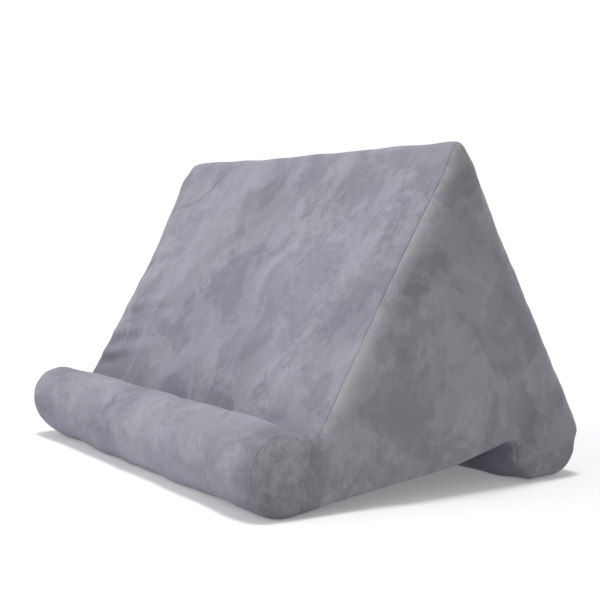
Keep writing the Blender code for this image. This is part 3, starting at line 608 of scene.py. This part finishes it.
# Cover panels: each is one cut of suede, 1.2 mm thick, drawn tight over the foam and sewn to
# its neighbours. A seam pulls both edges in, which leaves a fine dark line between them.
near_seam = mm * np.array([0, 0.45, 0.9, 1.4, 2.0, 2.8, 3.9, 5.4, 7.4])
seam_gap, seam_allowance = 0.03 * mm, 4 * mm


def steps_between(low, high, spacing=1.8 * mm):
    """Places from low to high: close together at both ends, where the seams are, then even."""
    span = high - low - 2 * near_seam[-1]
    middle = near_seam[-1] + span * np.linspace(0, 1, max(int(span / spacing), 1) + 1)[1:-1]
    return low + np.concatenate([near_seam, middle, (high - low) - near_seam[::-1]])


def thicken(piece, thickness=cloth, offset=-1):
    """Gives a sheet its thickness, inwards or, with no offset, both ways."""
    modify(piece, "SOLIDIFY", thickness=thickness, offset=offset)


def dress(piece, finish, bodies, slot, *nodes):
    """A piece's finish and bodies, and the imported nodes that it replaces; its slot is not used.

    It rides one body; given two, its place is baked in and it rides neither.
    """
    piece.data.materials.append(finish)
    if isinstance(bodies, str):
        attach(piece, bodies)
    else:
        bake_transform(piece)
    if nodes:
        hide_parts(*nodes)


def sewn_to_cushion(piece, node, finish, slot, shift):
    # The shift is painted light on the cloth: highlight where positive, shade where negative.
    nap = piece.data.attributes.new("painted_light_shift", "FLOAT", "POINT")
    nap.data.foreach_set("value", shift)
    thicken(piece)
    dress(piece, finish, "cushion", slot, node)


def ring_rows():
    """x, shoulder angle and distance from the end seam of the wrap's rings, finest on the left."""
    edge = straight_half - near_seam[-1]
    half = np.concatenate([near_seam - straight_half, np.linspace(-edge, -80 * mm, 62)[1:],
                           np.linspace(-80 * mm, edge, 112)[1:-1], (straight_half - near_seam)[::-1]])
    half = half[np.abs(half) < straight_half - 0.4 * mm]
    half = half[np.abs(np.abs(half) - zip_half_length) > 0.7 * mm]
    half = np.sort(np.concatenate([half, [-zip_half_length, zip_half_length]]))
    lean = np.linspace(0, seam_turn - seam_gap / end_radius, 6)
    x = np.concatenate([np.full(6, -straight_half), half, np.full(6, straight_half)])
    theta = np.concatenate([lean[::-1], np.zeros(len(half)), lean])
    away = straight_half - np.abs(x) + end_radius * (seam_turn - theta)
    return x, theta, away


rows_x, rows_turn, rows_away = ring_rows()


def front_light_and_shade(world):
    """The front's painted light and shade: painted shade above the groove, stronger to the left, at the
    lower left and in the tucks' valleys and the crease, and painted highlight on the tucks' ridges and
    along the ridge towards the right."""
    x, _, z = np.moveaxis(world / mm, -1, 0)
    # Painted shade above the groove, fading up the face and stronger to the left.
    over = np.maximum(z - 44, 0) / (16 + 4 * np.sin(0.055 * x))
    # Painted shade at the lower left, in the hollow above the groove.
    left = bell(x, -126, 22) * bell(z, 54, 13)
    # Painted highlight on the tucks' ridges, painted shade in their valleys and in the crease.
    folds = 0.20 * left_tucks(x, z) - 0.25 * left_crease(x, z)[1]
    # Painted highlight along the ridge towards the right.
    top = 0.30 * smooth(x, 10, 120) * bell(z, 194, 20)
    return (0.12 * x * mm / straight_half - 0.30) * np.exp(-over * over) - 0.15 * left + folds + top


def wrap_panel(node, low, high, window=0, spacing=1.8 * mm):
    """A panel of the wrap between two seams, with the zip's window at its first or last edge."""
    length = (high - low) % around
    along = steps_between(0, length, spacing)
    if window:
        edge = zip_half_width if window < 0 else length - zip_half_width
        along = np.sort(np.append(along[np.abs(along - edge) > 0.5 * mm], edge))
    along = np.clip(along, seam_gap, length - seam_gap)
    points, normals = wrap_points(low + along, rows_x, rows_turn)
    seam = np.minimum(np.minimum(along, length - along)[None, :], rows_away[:, None])
    world = gather(points, normals, seam, np.broadcast_to(rows_away[:, None], seam.shape))
    faces = grid_faces(len(rows_x), len(along))
    if window:
        x = (rows_x[:-1] + rows_x[1:]) / 2
        at = (along[:-1] + along[1:]) / 2
        inside = at < zip_half_width if window < 0 else at > length - zip_half_width
        faces = faces[~((np.abs(x) < zip_half_length)[:, None] & inside[None, :]).ravel()]
    used, faces = np.unique(faces, return_inverse=True)
    piece = new_piece(node.replace("panel", "cloth"), world.reshape(-1, 3)[used], faces.reshape(-1, 4))
    # Painted highlight: a pale band within about 5 mm of each seam.
    shift = 0.1 * bell(seam, 0, 5 * mm)
    if node == "front_panel":
        # The front also gets its painted shade and highlight.
        shift = shift + front_light_and_shade(world)
    elif node == "roll_panel":
        # Painted shade: the roll darkens towards its right end, where it rounds off.
        roll_end_shade = bell(rows_away, 0, 16 * mm) * (rows_x > 0)
        shift = shift - 0.55 * roll_end_shade[:, None] * on_roll(world)
    sewn_to_cushion(piece, node, front_suede, "suede_cloth", shift.ravel()[used])


wrap_panel("front_panel", seam_ridge, seam_groove, spacing=1.1 * mm)
wrap_panel("roll_panel", seam_groove, seam_zip, 1)
wrap_panel("base_panel", seam_zip, seam_arch, -1)
wrap_panel("foot_panel", seam_arch, seam_bend)
wrap_panel("rear_panel", seam_bend, seam_ridge)

# End panels: one cut of suede each, in the shape of the end. They swell a little between
# their seams, and their nap lies flat, so they look greyer than the front.
end_rings = seam_turn + np.append(near_seam[:-1], end_radius * (math.pi / 2 - seam_turn)) / end_radius
end_rings[0] += seam_gap / end_radius


def end_cloth(node, sign):
    """An end panel: the right end's points, or the same with x turned round for the left."""
    points, normals, away, faces = end_points(4 * mm, end_rings)
    points, normals = points * (sign, 1, 1), normals * (sign, 1, 1)
    world = gather(points, normals, away, away)
    piece = new_piece(node.replace("panel", "cloth"), world, faces[:, ::sign])
    roll = on_roll(world)
    # Painted highlight along the end seam, faint low down and full above 65 mm off the roll, and painted
    # shade over the roll's end, deepest at its seam.
    high = 0.2 + 0.8 * smooth(world[:, 2], 40 * mm, 65 * mm)
    shift = bell(away, 0, 10 * mm) * (0.4 * high * (1 - roll) - 0.3 * roll) - 0.12 * roll
    sewn_to_cushion(piece, node, end_suede, "end_cloth", shift)


end_cloth("right_end_panel", 1)
end_cloth("left_end_panel", -1)

# Foam filling: soft polyurethane foam, glued up from a wedge, a round bar in the roll and a
# bar in the foot, which fills the cover to its seams. Nothing of it shows while the zip is shut.
foam_layer, foam_half = 4.5 * mm, 152.3 * mm


def foam_finish():
    """Pale open-celled foam: small round cells, with painted shade in their depth."""
    made, tree, place = new_finish("foam_cells")
    cells = add_node(tree, "TexVoronoi", {"Vector": place, "Scale": 900}).outputs["Distance"]
    colour = two_tones(tree, cells, (0.62, 0.58, 0.46), (0.85, 0.82, 0.70))
    set_shader(tree, colour, cells, 0.5 * mm, 1.0, {"Roughness": 0.9})
    return made


def foam_filling():
    """The closed body of the foam, at its depth under the cloth, its ends cut straight."""
    s = np.linspace(0, around, 260, endpoint=False)
    points, normals = wrap_points(s, *capped_rows([88, 66, 44, 22], 70), foam_layer)
    far = np.ones(points.shape[:2])
    world = gather(points, normals, far, far)
    world[..., 0] = np.clip(world[..., 0], -foam_half, foam_half)
    world[..., 2] = np.maximum(world[..., 2], foam_layer)
    piece = closed_body("foam_filling", world)
    dress(piece, foam_finish(), "cushion", "foam", "foam_wedge", "foam_front_roll", "foam_rear_foot")


foam_filling()

# Rear pocket: its mouth is edged with a band of suede folded over the net and sewn twice,
# and its lower edge is gathered into a pale elastic hem along the rear bend.
rear_run = part_length[2 * rear_bend + 1]
pocket_half = 146.7 * mm
binding_low, binding_high = 36 * mm, 54 * mm
hem_width = 7 * mm


def on_wrap(s, x, lift):
    """World points on the filled wrap from lengths round the outline, x and lifts, broadcast."""
    shape = np.broadcast_shapes(*map(np.shape, (s, x, lift)))
    way, across, above = (np.broadcast_to(given, shape).ravel() for given in (s, x, lift))
    yz, normal = (found[0] for found in outline(way, [0.0]))
    yz = yz + normal * (crown(way) * (1 - (across / straight_half) ** 2))[:, None]
    points = np.column_stack([across, yz])
    normals = np.column_stack([0 * across, normal])
    ends = straight_half - np.abs(across)
    apart = np.abs((way[:, None] - seams + around / 2) % around - around / 2).min(axis=1)
    world = gather(points, normals, np.maximum(np.minimum(apart, ends), 0), ends + end_radius * seam_turn)
    return (world + normals * above[:, None]).reshape(*shape, 3)


def rear_face(distance, x, lift):
    """World points at a distance down the rear face from the ridge's rounding, or up it if negative."""
    return on_wrap(rear_top - distance, x, lift)


def squared(value, power):
    """A cosine or sine raised to a power below 1 with its sign kept, which squares a circle."""
    return np.sign(value) * np.abs(value) ** power


def band(name, low, high, thick, x, count, move, lift):
    """A flat band along x: a closed body whose section is a superellipse |u|^4 + |v|^4 = 1.

    move and lift give how far each point slides down the face and its height over it, from
    the height in the plain section.
    """
    a = np.linspace(0, 2 * math.pi, count, endpoint=False)
    distance = (low + high) / 2 + squared(np.cos(a), 0.5) * (high - low) / 2
    height = thick * (1 + squared(np.sin(a), 0.5)) / 2
    return closed_body(name, rear_face(distance + move, x, lift(height)))


def pocket_waves(x):
    """The low waves, 38 mm long, of the binding's upper side."""
    return 0.35 * mm * np.sin(x * 2 * math.pi / (38 * mm))


across = np.linspace(-pocket_half, pocket_half, 300)[:, None]
binding = band("pocket_binding_band", binding_low, binding_high, 1.7 * mm, across, 28, 0,
               lambda height: 0.3 * mm + height + pocket_waves(across) * (height > 0.9 * mm))
rear_suede = suede("rear_suede", (0.200, 0.196, 0.246), (0.385, 0.380, 0.452))
dress(binding, rear_suede, "cushion", "suede_cloth", "pocket_binding")


def plain_cloth(name, colour, thread, weave_scale):
    """Woven or knitted cloth: crossed bands of thread as colour and bump."""
    made, tree, place = new_finish(name)
    bands = [add_node(tree, "TexWave", {"Vector": place, "Scale": weave_scale, "Distortion": 0.6},
                      bands_direction=way).outputs["Fac"] for way in ("X", "Y")]
    crossed = total(tree, *bands, operation="MULTIPLY")
    worn = total(tree, crossed, spread(tree, noise(tree, place, 90, 4), 0.35, 0.65, 0.0, 0.35))
    set_shader(tree, two_tones(tree, worn, colour, thread), crossed, 0.2 * mm, 0.5,
               {"Roughness": 0.8, "Sheen Weight": 0.15})
    return made


hem_x = np.linspace(-pocket_half, pocket_half, 640)[:, None]
pleat = 0.5 + 0.5 * np.sin(hem_x * 2 * math.pi / (4.4 * mm) + 1.6 * np.sin(hem_x * 190))
hem = band("pocket_hem_elastic", rear_run - hem_width, rear_run, 1.5 * mm, hem_x, 24,
           0.5 * mm * (pleat - 0.5), lambda height: 0.3 * mm + height * (0.75 + 0.55 * pleat))
dress(hem, plain_cloth("pale_elastic", (0.50, 0.50, 0.53), (0.68, 0.68, 0.71), 420),
      "cushion", "pale_cloth", "pocket_hem")

# Pocket net: a knitted polyester mesh of fine strands with small six-sided holes, sewn into
# the binding and the hem and a little slack between them.
net_columns, net_rows, strand = 96, 44, 0.9 * mm


def net_piece():
    """The net: a grid of strands and holes in turn, its posts in a zigzag from row to row."""
    low, high = binding_high - 1.5 * mm, rear_run - hem_width + 1 * mm
    pitch_x = (2 * pocket_half - strand) / net_columns
    pitch_d = (high - low - strand) / net_rows
    x = (-pocket_half + pitch_x * np.arange(net_columns + 1)[:, None] + (0, strand)).ravel()
    d = (low + pitch_d * np.arange(net_rows + 1)[:, None] + (0, strand)).ravel()
    zigzag = np.repeat(np.arange(net_rows + 1) % 2 - 0.5, 2) * pitch_x * 0.36
    inner = np.minimum(x + pocket_half, pocket_half - x) > pitch_x / 2
    grid_x = x[:, None] + zigzag[None, :] * inner[:, None]
    place = np.stack([grid_x, d + 0 * grid_x, 0 * grid_x], axis=-1)
    slack = np.sin(math.pi * (d - low) / (high - low)) * (1.2 + 0.5 * swell(place, 60 * mm, 8))
    slack = slack + 0.15 * swell(place, 20 * mm, 9)
    lift = 0.75 * mm + np.maximum(slack, -0.2) * mm
    points = rear_face(d, np.clip(grid_x, -pocket_half, pocket_half), lift)
    faces = grid_faces(*grid_x.shape).reshape(len(x) - 1, len(d) - 1, 4)
    hole = (np.arange(len(x) - 1) % 2 == 1)[:, None] & (np.arange(len(d) - 1) % 2 == 1)[None, :]
    return new_piece("pocket_net_mesh", points, faces[~hole][:, ::-1])


net = net_piece()
thicken(net, 0.45 * mm, 0)
dress(net, plain_cloth("net_yarn", (0.36, 0.36, 0.375), (0.56, 0.56, 0.58), 900),
      "cushion", "pocket_mesh", "pocket_net")

# Flap: a strip of suede sewn into the ridge seam, which hangs over the pocket's mouth. Its
# lower edge is turned under and sewn, and waves a little between the ends and the snap.
flap_end = 41 * mm
ridge_half = float(part_length[2 * ridge] / 2)


def flap_edge(x):
    """Distance of the flap's lower edge: two slow waves along it."""
    return flap_end + 1.5 * mm * np.sin(3 * math.pi * x / pocket_half) + 0.5 * mm * np.sin(x * 95)


def flap_lift(distance, x, share):
    """Lift of the flap's upper side.

    It leaves the ridge seam from 0.5 mm below the cover, clears the binding, rises at the
    snap, and its free edge stands off in slow waves.
    """
    leave = 1.7 * smooth(distance, -ridge_half, 0) + 2.3 * smooth(distance, -ridge_half, 16 * mm)
    snap = 0.9 * bell(x, 0, 22 * mm) * bell(distance, snap_distance, 16 * mm)
    inner = 1 - smooth(np.abs(x), 110 * mm, 146 * mm)
    waves = inner * share**3 * (0.7 * np.sin(x * 61 + 0.8) + 0.5 * np.sin(x * 133))
    return mm * (leave - 0.5 + snap + np.maximum(waves, -0.1) + 0.5 * inner * share**8)


flap_x = np.linspace(-pocket_half, pocket_half, 150)[:, None]
flap_share = np.linspace(0, 1, 46)[None, :]
flap_distance = -ridge_half + (flap_edge(flap_x) + ridge_half) * flap_share
flap_points = rear_face(flap_distance, flap_x, flap_lift(flap_distance, flap_x, flap_share))
flap = new_piece("flap_cloth", flap_points, grid_faces(*flap_distance.shape)[:, ::-1])
thicken(flap)
dress(flap, rear_suede, ("cushion", "pocket_flap"), "suede_cloth", "flap_panel")


# Thread: the topstitching of the flap, the binding and the zip is a grey polyester thread in
# stitches of 3 mm.
def thread_finish():
    """Twisted polyester thread: slanting bands of lighter and darker grey."""
    made, tree, place = new_finish("grey_thread")
    twist = add_node(tree, "TexWave", {"Vector": place, "Scale": 700},
                     bands_direction="DIAGONAL").outputs["Fac"]
    colour = two_tones(tree, twist, (0.20, 0.20, 0.25), (0.34, 0.34, 0.40))
    set_shader(tree, colour, twist, 0.1 * mm, 0.5, {"Roughness": 0.55})
    return made


thread = thread_finish()
stitch_length, stitch_pitch, thick = 2.9 * mm, 3.9 * mm, 0.5 * mm


def stitches(surface, name, place, x, lift, body):
    """Stitches along a line on a surface of the wrap, at places, x and lifts.

    Each is a short tube with six sides, sunk at both ends, and its rings have a radius of half
    the thread times the square root of 1 - t^2 at share t from its middle.
    """
    points = surface(place, x, lift)
    normals = surface(place, x, lift + 5 * mm) - points
    normals /= np.linalg.norm(normals, axis=1)[:, None]
    walked = np.concatenate([[0], np.cumsum(np.linalg.norm(np.diff(points, axis=0), axis=1))])
    count = int((walked[-1] - 2 * mm) / stitch_pitch)
    middle = walked[-1] / 2 + stitch_pitch * (np.arange(count) - (count - 1) / 2)
    t = np.array([-0.98, -0.75, 0.0, 0.75, 0.98])
    at = middle[:, None] + t * stitch_length / 2
    line, up = (np.stack([np.interp(at, walked, way[:, k]) for k in range(3)], axis=-1)
                for way in (points, normals))
    up /= np.linalg.norm(up, axis=-1, keepdims=True)
    along = line[:, -1:] - line[:, :1]
    along /= np.linalg.norm(along, axis=-1, keepdims=True)
    sideways = np.cross(np.broadcast_to(along, up.shape), up)
    line = line + up * thick * (0.28 - 0.5 * t[None, :, None] ** 4)
    a = np.linspace(0, 2 * math.pi, 6, endpoint=False)[:, None]
    spokes = np.cos(a) * sideways[:, :, None] + np.sin(a) * up[:, :, None]
    rings = line[:, :, None] + thick / 2 * np.sqrt(1 - t**2)[None, :, None, None] * spokes
    caps = np.array([[0, 1, 2, 3], [0, 3, 4, 5]])
    one = np.concatenate([grid_faces(len(t), 6, closed=True)[:, ::-1], caps, (caps + 24)[:, ::-1]])
    faces = (one[None] + (len(t) * 6) * np.arange(count)[:, None, None]).reshape(-1, 4)
    dress(new_piece(name, rings, faces), thread, body, "suede_cloth")


line_x = np.linspace(-pocket_half + 2 * mm, pocket_half - 2 * mm, 400)
for name, distance in (("binding_stitch_upper", binding_low + 2.2 * mm),
                       ("binding_stitch_lower", binding_high - 2.2 * mm)):
    stitches(rear_face, name, distance, line_x, 1.97 * mm + pocket_waves(line_x), "cushion")
edge_distance = flap_edge(line_x) - 4.0 * mm
edge_share = (edge_distance + ridge_half) / (flap_edge(line_x) + ridge_half)
stitches(rear_face, "flap_hem_stitch", edge_distance, line_x,
         flap_lift(edge_distance, line_x, edge_share), ("cushion", "pocket_flap"))


# Snap button: a glossy black cap and a plated socket on the flap, and a plated stud with its
# back plate on the rear panel. All are turned about one axis, square to the rear face.
def turned(name, profile, lift, finish, node, body, slot, count=64):
    """A turned piece: its profile (radius, height), top to bottom, carried round the snap's axis."""
    r, z = np.array(profile, float).T * mm
    a = np.linspace(0, 2 * math.pi, count, endpoint=False)[:, None]
    local = np.stack([r * np.cos(a), r * np.sin(a), z + lift + 0 * a], axis=-1)
    faces = grid_faces(count + 1, len(r)) % (count * len(r))
    piece = new_piece(name, snap_origin + local @ snap_axes, faces)
    mesh = piece.data
    shape = bmesh.new()
    shape.from_mesh(mesh)
    bmesh.ops.remove_doubles(shape, verts=shape.verts, dist=1e-6)
    bmesh.ops.dissolve_degenerate(shape, dist=1e-7, edges=shape.edges)
    bmesh.ops.recalc_face_normals(shape, faces=shape.faces)
    shape.to_mesh(mesh)
    shape.free()
    mesh.shade_smooth()
    mesh.set_sharp_from_angle(angle=math.radians(45))
    dress(piece, finish, body, slot, node)


def hard_finish(name, colour, rough, metal=0.0, coat=0.0):
    """Moulded plastic or plated metal: faint mottling of colour and gloss, and fine scratches."""
    made, tree, place = new_finish(name)
    mottle = noise(tree, place, 600, 4)
    scratch = noise(tree, place, 2500, 2, 0.5, 0.0, 0.8, (1, 1, 12))
    colour = two_tones(tree, mottle, [0.8 * c for c in colour], [1.15 * c for c in colour])
    set_shader(tree, colour, total(tree, mottle, scratch), 0.05 * mm, 0.08, {
        "Roughness": spread(tree, mottle, 0.3, 0.7, 0.8 * rough, 1.3 * rough), "Metallic": metal,
        "Coat Weight": coat, "Coat Roughness": 0.05})
    return made


button_black = hard_finish("black_button", (0.018, 0.018, 0.021), 0.18, coat=0.3)
plated = hard_finish("plated_snap", (0.58, 0.58, 0.60), 0.28, metal=1.0)
dome = [(9 * math.sin(t), 0.8 + 2.8 * math.cos(t)) for t in np.radians(np.linspace(0, 86, 16))]
turned("snap_cap_dome",
       dome + [(9.05, 0.75), (9.0, 0.4), (8.75, 0.1), (8.3, 0), (1.5, 0), (1.5, -0.7), (0, -0.7)],
       4.35 * mm, button_black, "snap_cap", "pocket_flap", "gloss_black")
turned("snap_socket_ring",
       [(0, 3.1), (4.6, 3.1), (4.9, 2.95), (5.0, 2.6), (5.0, 1.25), (4.85, 1.05), (4.5, 1.0),
        (3.5, 1.0), (3.15, 1.08), (3.0, 1.3), (3.0, 2.3), (0, 2.3)],
       0.0, plated, "snap_socket", "pocket_flap", "snap_metal")
turned("snap_stud_post",
       [(0, 1.7), (1.7, 1.68), (2.2, 1.5), (2.4, 1.25), (2.35, 1.05), (1.9, 0.85), (1.8, 0.5),
        (2.2, 0.4), (5.2, 0.4), (5.45, 0.3), (5.5, 0.15), (5.4, 0), (0, 0)],
       0.3 * mm, plated, "snap_stud", "cushion", "snap_metal")
turned("snap_back_plate",
       [(0, 0), (1.5, 0), (1.5, -1.5), (4.7, -1.5), (5.0, -1.65), (5.0, -1.85), (4.7, -2.0), (0, -2.0)],
       0.0, plated, "snap_back", "cushion", "snap_metal")

# Zip: on the underside, a closed nylon zip whose woven tapes are sewn behind the cloth's two
# edges, with moulded teeth on their beaded edges, a clamp at each end, a slider and its pull.
zip_way = heading[roll_low]
zip_axes = np.array([[1, 0, 0], [0, *-zip_way], [0, zip_way[1], -zip_way[0]]])
zip_origin = np.array([0, *(corners[roll_low] + zip_way * zip_place)]) - (0, depth / 2, 0)
zip_pitch, chain_half, bead_middle = 3 * mm, 100.97 * mm, 2.5 * mm
tape_reach, tape_half, tape_middle = 12 * mm, 112 * mm, -0.1 * mm


def zip_tape(node, side):
    """A tape: flat beside its bead, then under the cloth by 1.5 mm past the window's edge."""
    x = np.linspace(-tape_half, tape_half, 130)[:, None]
    y = np.linspace(bead_middle, tape_reach, 14)[None, :]
    under = np.maximum(y - (zip_half_width - 1.4 * mm), np.abs(x) - (zip_half_length - 1.4 * mm))
    lift = tape_middle + 0.35 * mm - 1.75 * mm * smooth(under, 0, 2.4 * mm)
    local = np.stack([x + 0 * y, side * y + 0 * x, lift], axis=-1)
    faces = grid_faces(*lift.shape)[:, ::side]
    piece = new_piece(node + "_cloth", zip_origin + local @ zip_axes, faces)
    thicken(piece, 0.7 * mm)
    dress(piece, tape_weave, "cushion", "zip_tape", node)


def zip_teeth(name, side, shift):
    """A tape's bead and its teeth: each tooth is rings of eight points from root to rounded tip."""
    count = int(2 * chain_half / zip_pitch) - 1
    middle = -chain_half + zip_pitch * (np.arange(count) + 0.5) + shift
    y = mm * np.array([2.9, 2.5, 1.4, 0.3, -0.5, -0.95])
    half_width = mm * np.array([0.55, 0.62, 0.50, 0.64, 0.60, 0.30])
    half_height = mm * np.array([0.90, 1.10, 1.05, 1.10, 0.95, 0.45])
    a = np.linspace(0, 2 * math.pi, 8, endpoint=False) + math.pi / 8
    ring_x, ring_z = squared(np.cos(a), 0.6), squared(np.sin(a), 0.6)
    local = np.stack(np.broadcast_arrays(
        middle[:, None, None] + half_width[:, None] * ring_x, side * y[:, None],
        tape_middle + half_height[:, None] * ring_z), axis=-1)
    tooth = [face[::side] for face in closed_faces(len(y), 8)]
    faces = [[v + 8 * len(y) * k for v in face] for k in range(count) for face in tooth]
    bead_x = np.linspace(-chain_half, chain_half, 40)[:, None]
    bead = np.stack(np.broadcast_arrays(bead_x, side * bead_middle + 0.55 * mm * np.cos(a),
                                        tape_middle + 0.75 * mm * np.sin(a)), axis=-1)
    faces += [[v + 8 * len(y) * count for v in face] for face in closed_faces(40, 8)]
    points = np.concatenate([local.reshape(-1, 3), bead.reshape(-1, 3)])
    dress(new_piece(name, zip_origin + points @ zip_axes, faces), tooth_nylon, "cushion", "zip_tape")


tape_weave = plain_cloth("zip_tape_weave", (0.10, 0.10, 0.115), (0.20, 0.20, 0.225), 1100)
tooth_nylon = hard_finish("tooth_nylon", (0.12, 0.12, 0.135), 0.4)
zip_tape("zip_tape_front", 1)
zip_tape("zip_tape_rear", -1)
zip_teeth("zip_teeth_front", 1, 0)
zip_teeth("zip_teeth_rear", -1, zip_pitch / 2)
zip_x = np.linspace(-zip_half_length - 3 * mm, zip_half_length + 3 * mm, 300)
for name, side in (("zip_stitch_front", -1), ("zip_stitch_rear", 1)):
    stitches(on_wrap, name, seam_zip + side * (zip_half_width + 2.5 * mm), zip_x, 0.05 * mm, "cushion")

# Zip, its slider, pull and clamps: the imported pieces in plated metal, their edges tumbled.
zip_plate = hard_finish("zip_plate", (0.50, 0.50, 0.52), 0.3, metal=1.0)
for node in ("zip_slider", "zip_pull", "zip_stop_left", "zip_stop_right"):
    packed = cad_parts[node]
    packed.data.materials.clear()
    packed.data.materials.append(zip_plate)
    modify(packed, "WELD", merge_threshold=0.01 * mm)
    modify(packed, "BEVEL", width=0.15 * mm, segments=2, limit_method="ANGLE",
           angle_limit=math.radians(40))

# Camera: the photograph's, worked out from the cushion's edges.
lens = bpy.data.cameras.new("camera")
lens.lens, lens.sensor_width = 70.66, 36
camera = new_object("camera", lens)
azimuth, pitch = math.radians(57.64), math.radians(3.65)
looking = Vector((-math.sin(azimuth) * math.cos(pitch), math.cos(azimuth) * math.cos(pitch),
                  -math.sin(pitch)))
camera.location = (0.6515, -0.3992, 0.1485)
camera.rotation_euler = looking.to_track_quat("-Z", "Y").to_euler()
bpy.context.scene.camera = camera

# Studio: a pale floor, an even white world, a broad soft lamp before the front, a narrower one
# above and a weak one at the right. The floor and the world are white to the camera away from
# the cushion's shadow, and the floor is clear from below.
bpy.context.scene.view_settings.view_transform = "Standard"


def lamp(name, towards, spread, strength):
    """A sun lamp that shines along a direction, softened over an angle in degrees."""
    light = bpy.data.lights.new(name, "SUN")
    light.angle, light.energy = math.radians(spread), strength
    new_object(name, light).rotation_euler = Vector(towards).to_track_quat("-Z", "Y").to_euler()


lamp("key_lamp", (0.35, 0.85, -0.35), 60, 0.85)
lamp("top_lamp", (0.0, 0.05, -1.0), 12, 1.35)
lamp("side_lamp", (-0.9, 0.35, -0.2), 40, 0.22)
world = bpy.data.worlds.new("studio")
bpy.context.scene.world = world
world.use_nodes = True
tree = world.node_tree
path = add_node(tree, "LightPath").outputs
rays = (path[ray] for ray in ("Is Camera Ray", "Is Glossy Ray", "Is Transmission Ray"))
seen = total(tree, *rays, operation="MAXIMUM")
set_inputs(tree, tree.nodes["Background"],
           {"Color": (1, 1, 1, 1), "Strength": spread(tree, seen, 0, 1, 0.34, 1.0)})

floor_ends = (-6, 6)
floor = new_piece("floor", [(x, y, 0) for x in floor_ends for y in floor_ends], [(0, 2, 3, 1)])
floor.location.z = -0.2 * mm
paper, tree, _ = new_finish("white_paper")
seen = add_node(tree, "LightPath").outputs["Is Camera Ray"]
shader = tree.nodes["Principled BSDF"]
set_inputs(tree, shader, {
    "Base Color": two_tones(tree, seen, (0.62, 0.63, 0.65), (1.0, 1.0, 1.0)),
    "Emission Strength": spread(tree, seen, 0, 1, 0.08, 0.18), "Emission Color": (1, 1, 1, 1),
    "Roughness": 0.9, "Specular IOR Level": 0.0})
clear = add_node(tree, "BsdfTransparent").outputs[0]
below = add_node(tree, "NewGeometry").outputs["Backfacing"]
either = add_node(tree, "MixShader", {0: below, 1: shader.outputs[0], 2: clear}).outputs[0]
tree.links.new(either, tree.nodes["Material Output"].inputs["Surface"])
floor.data.materials.append(paper)
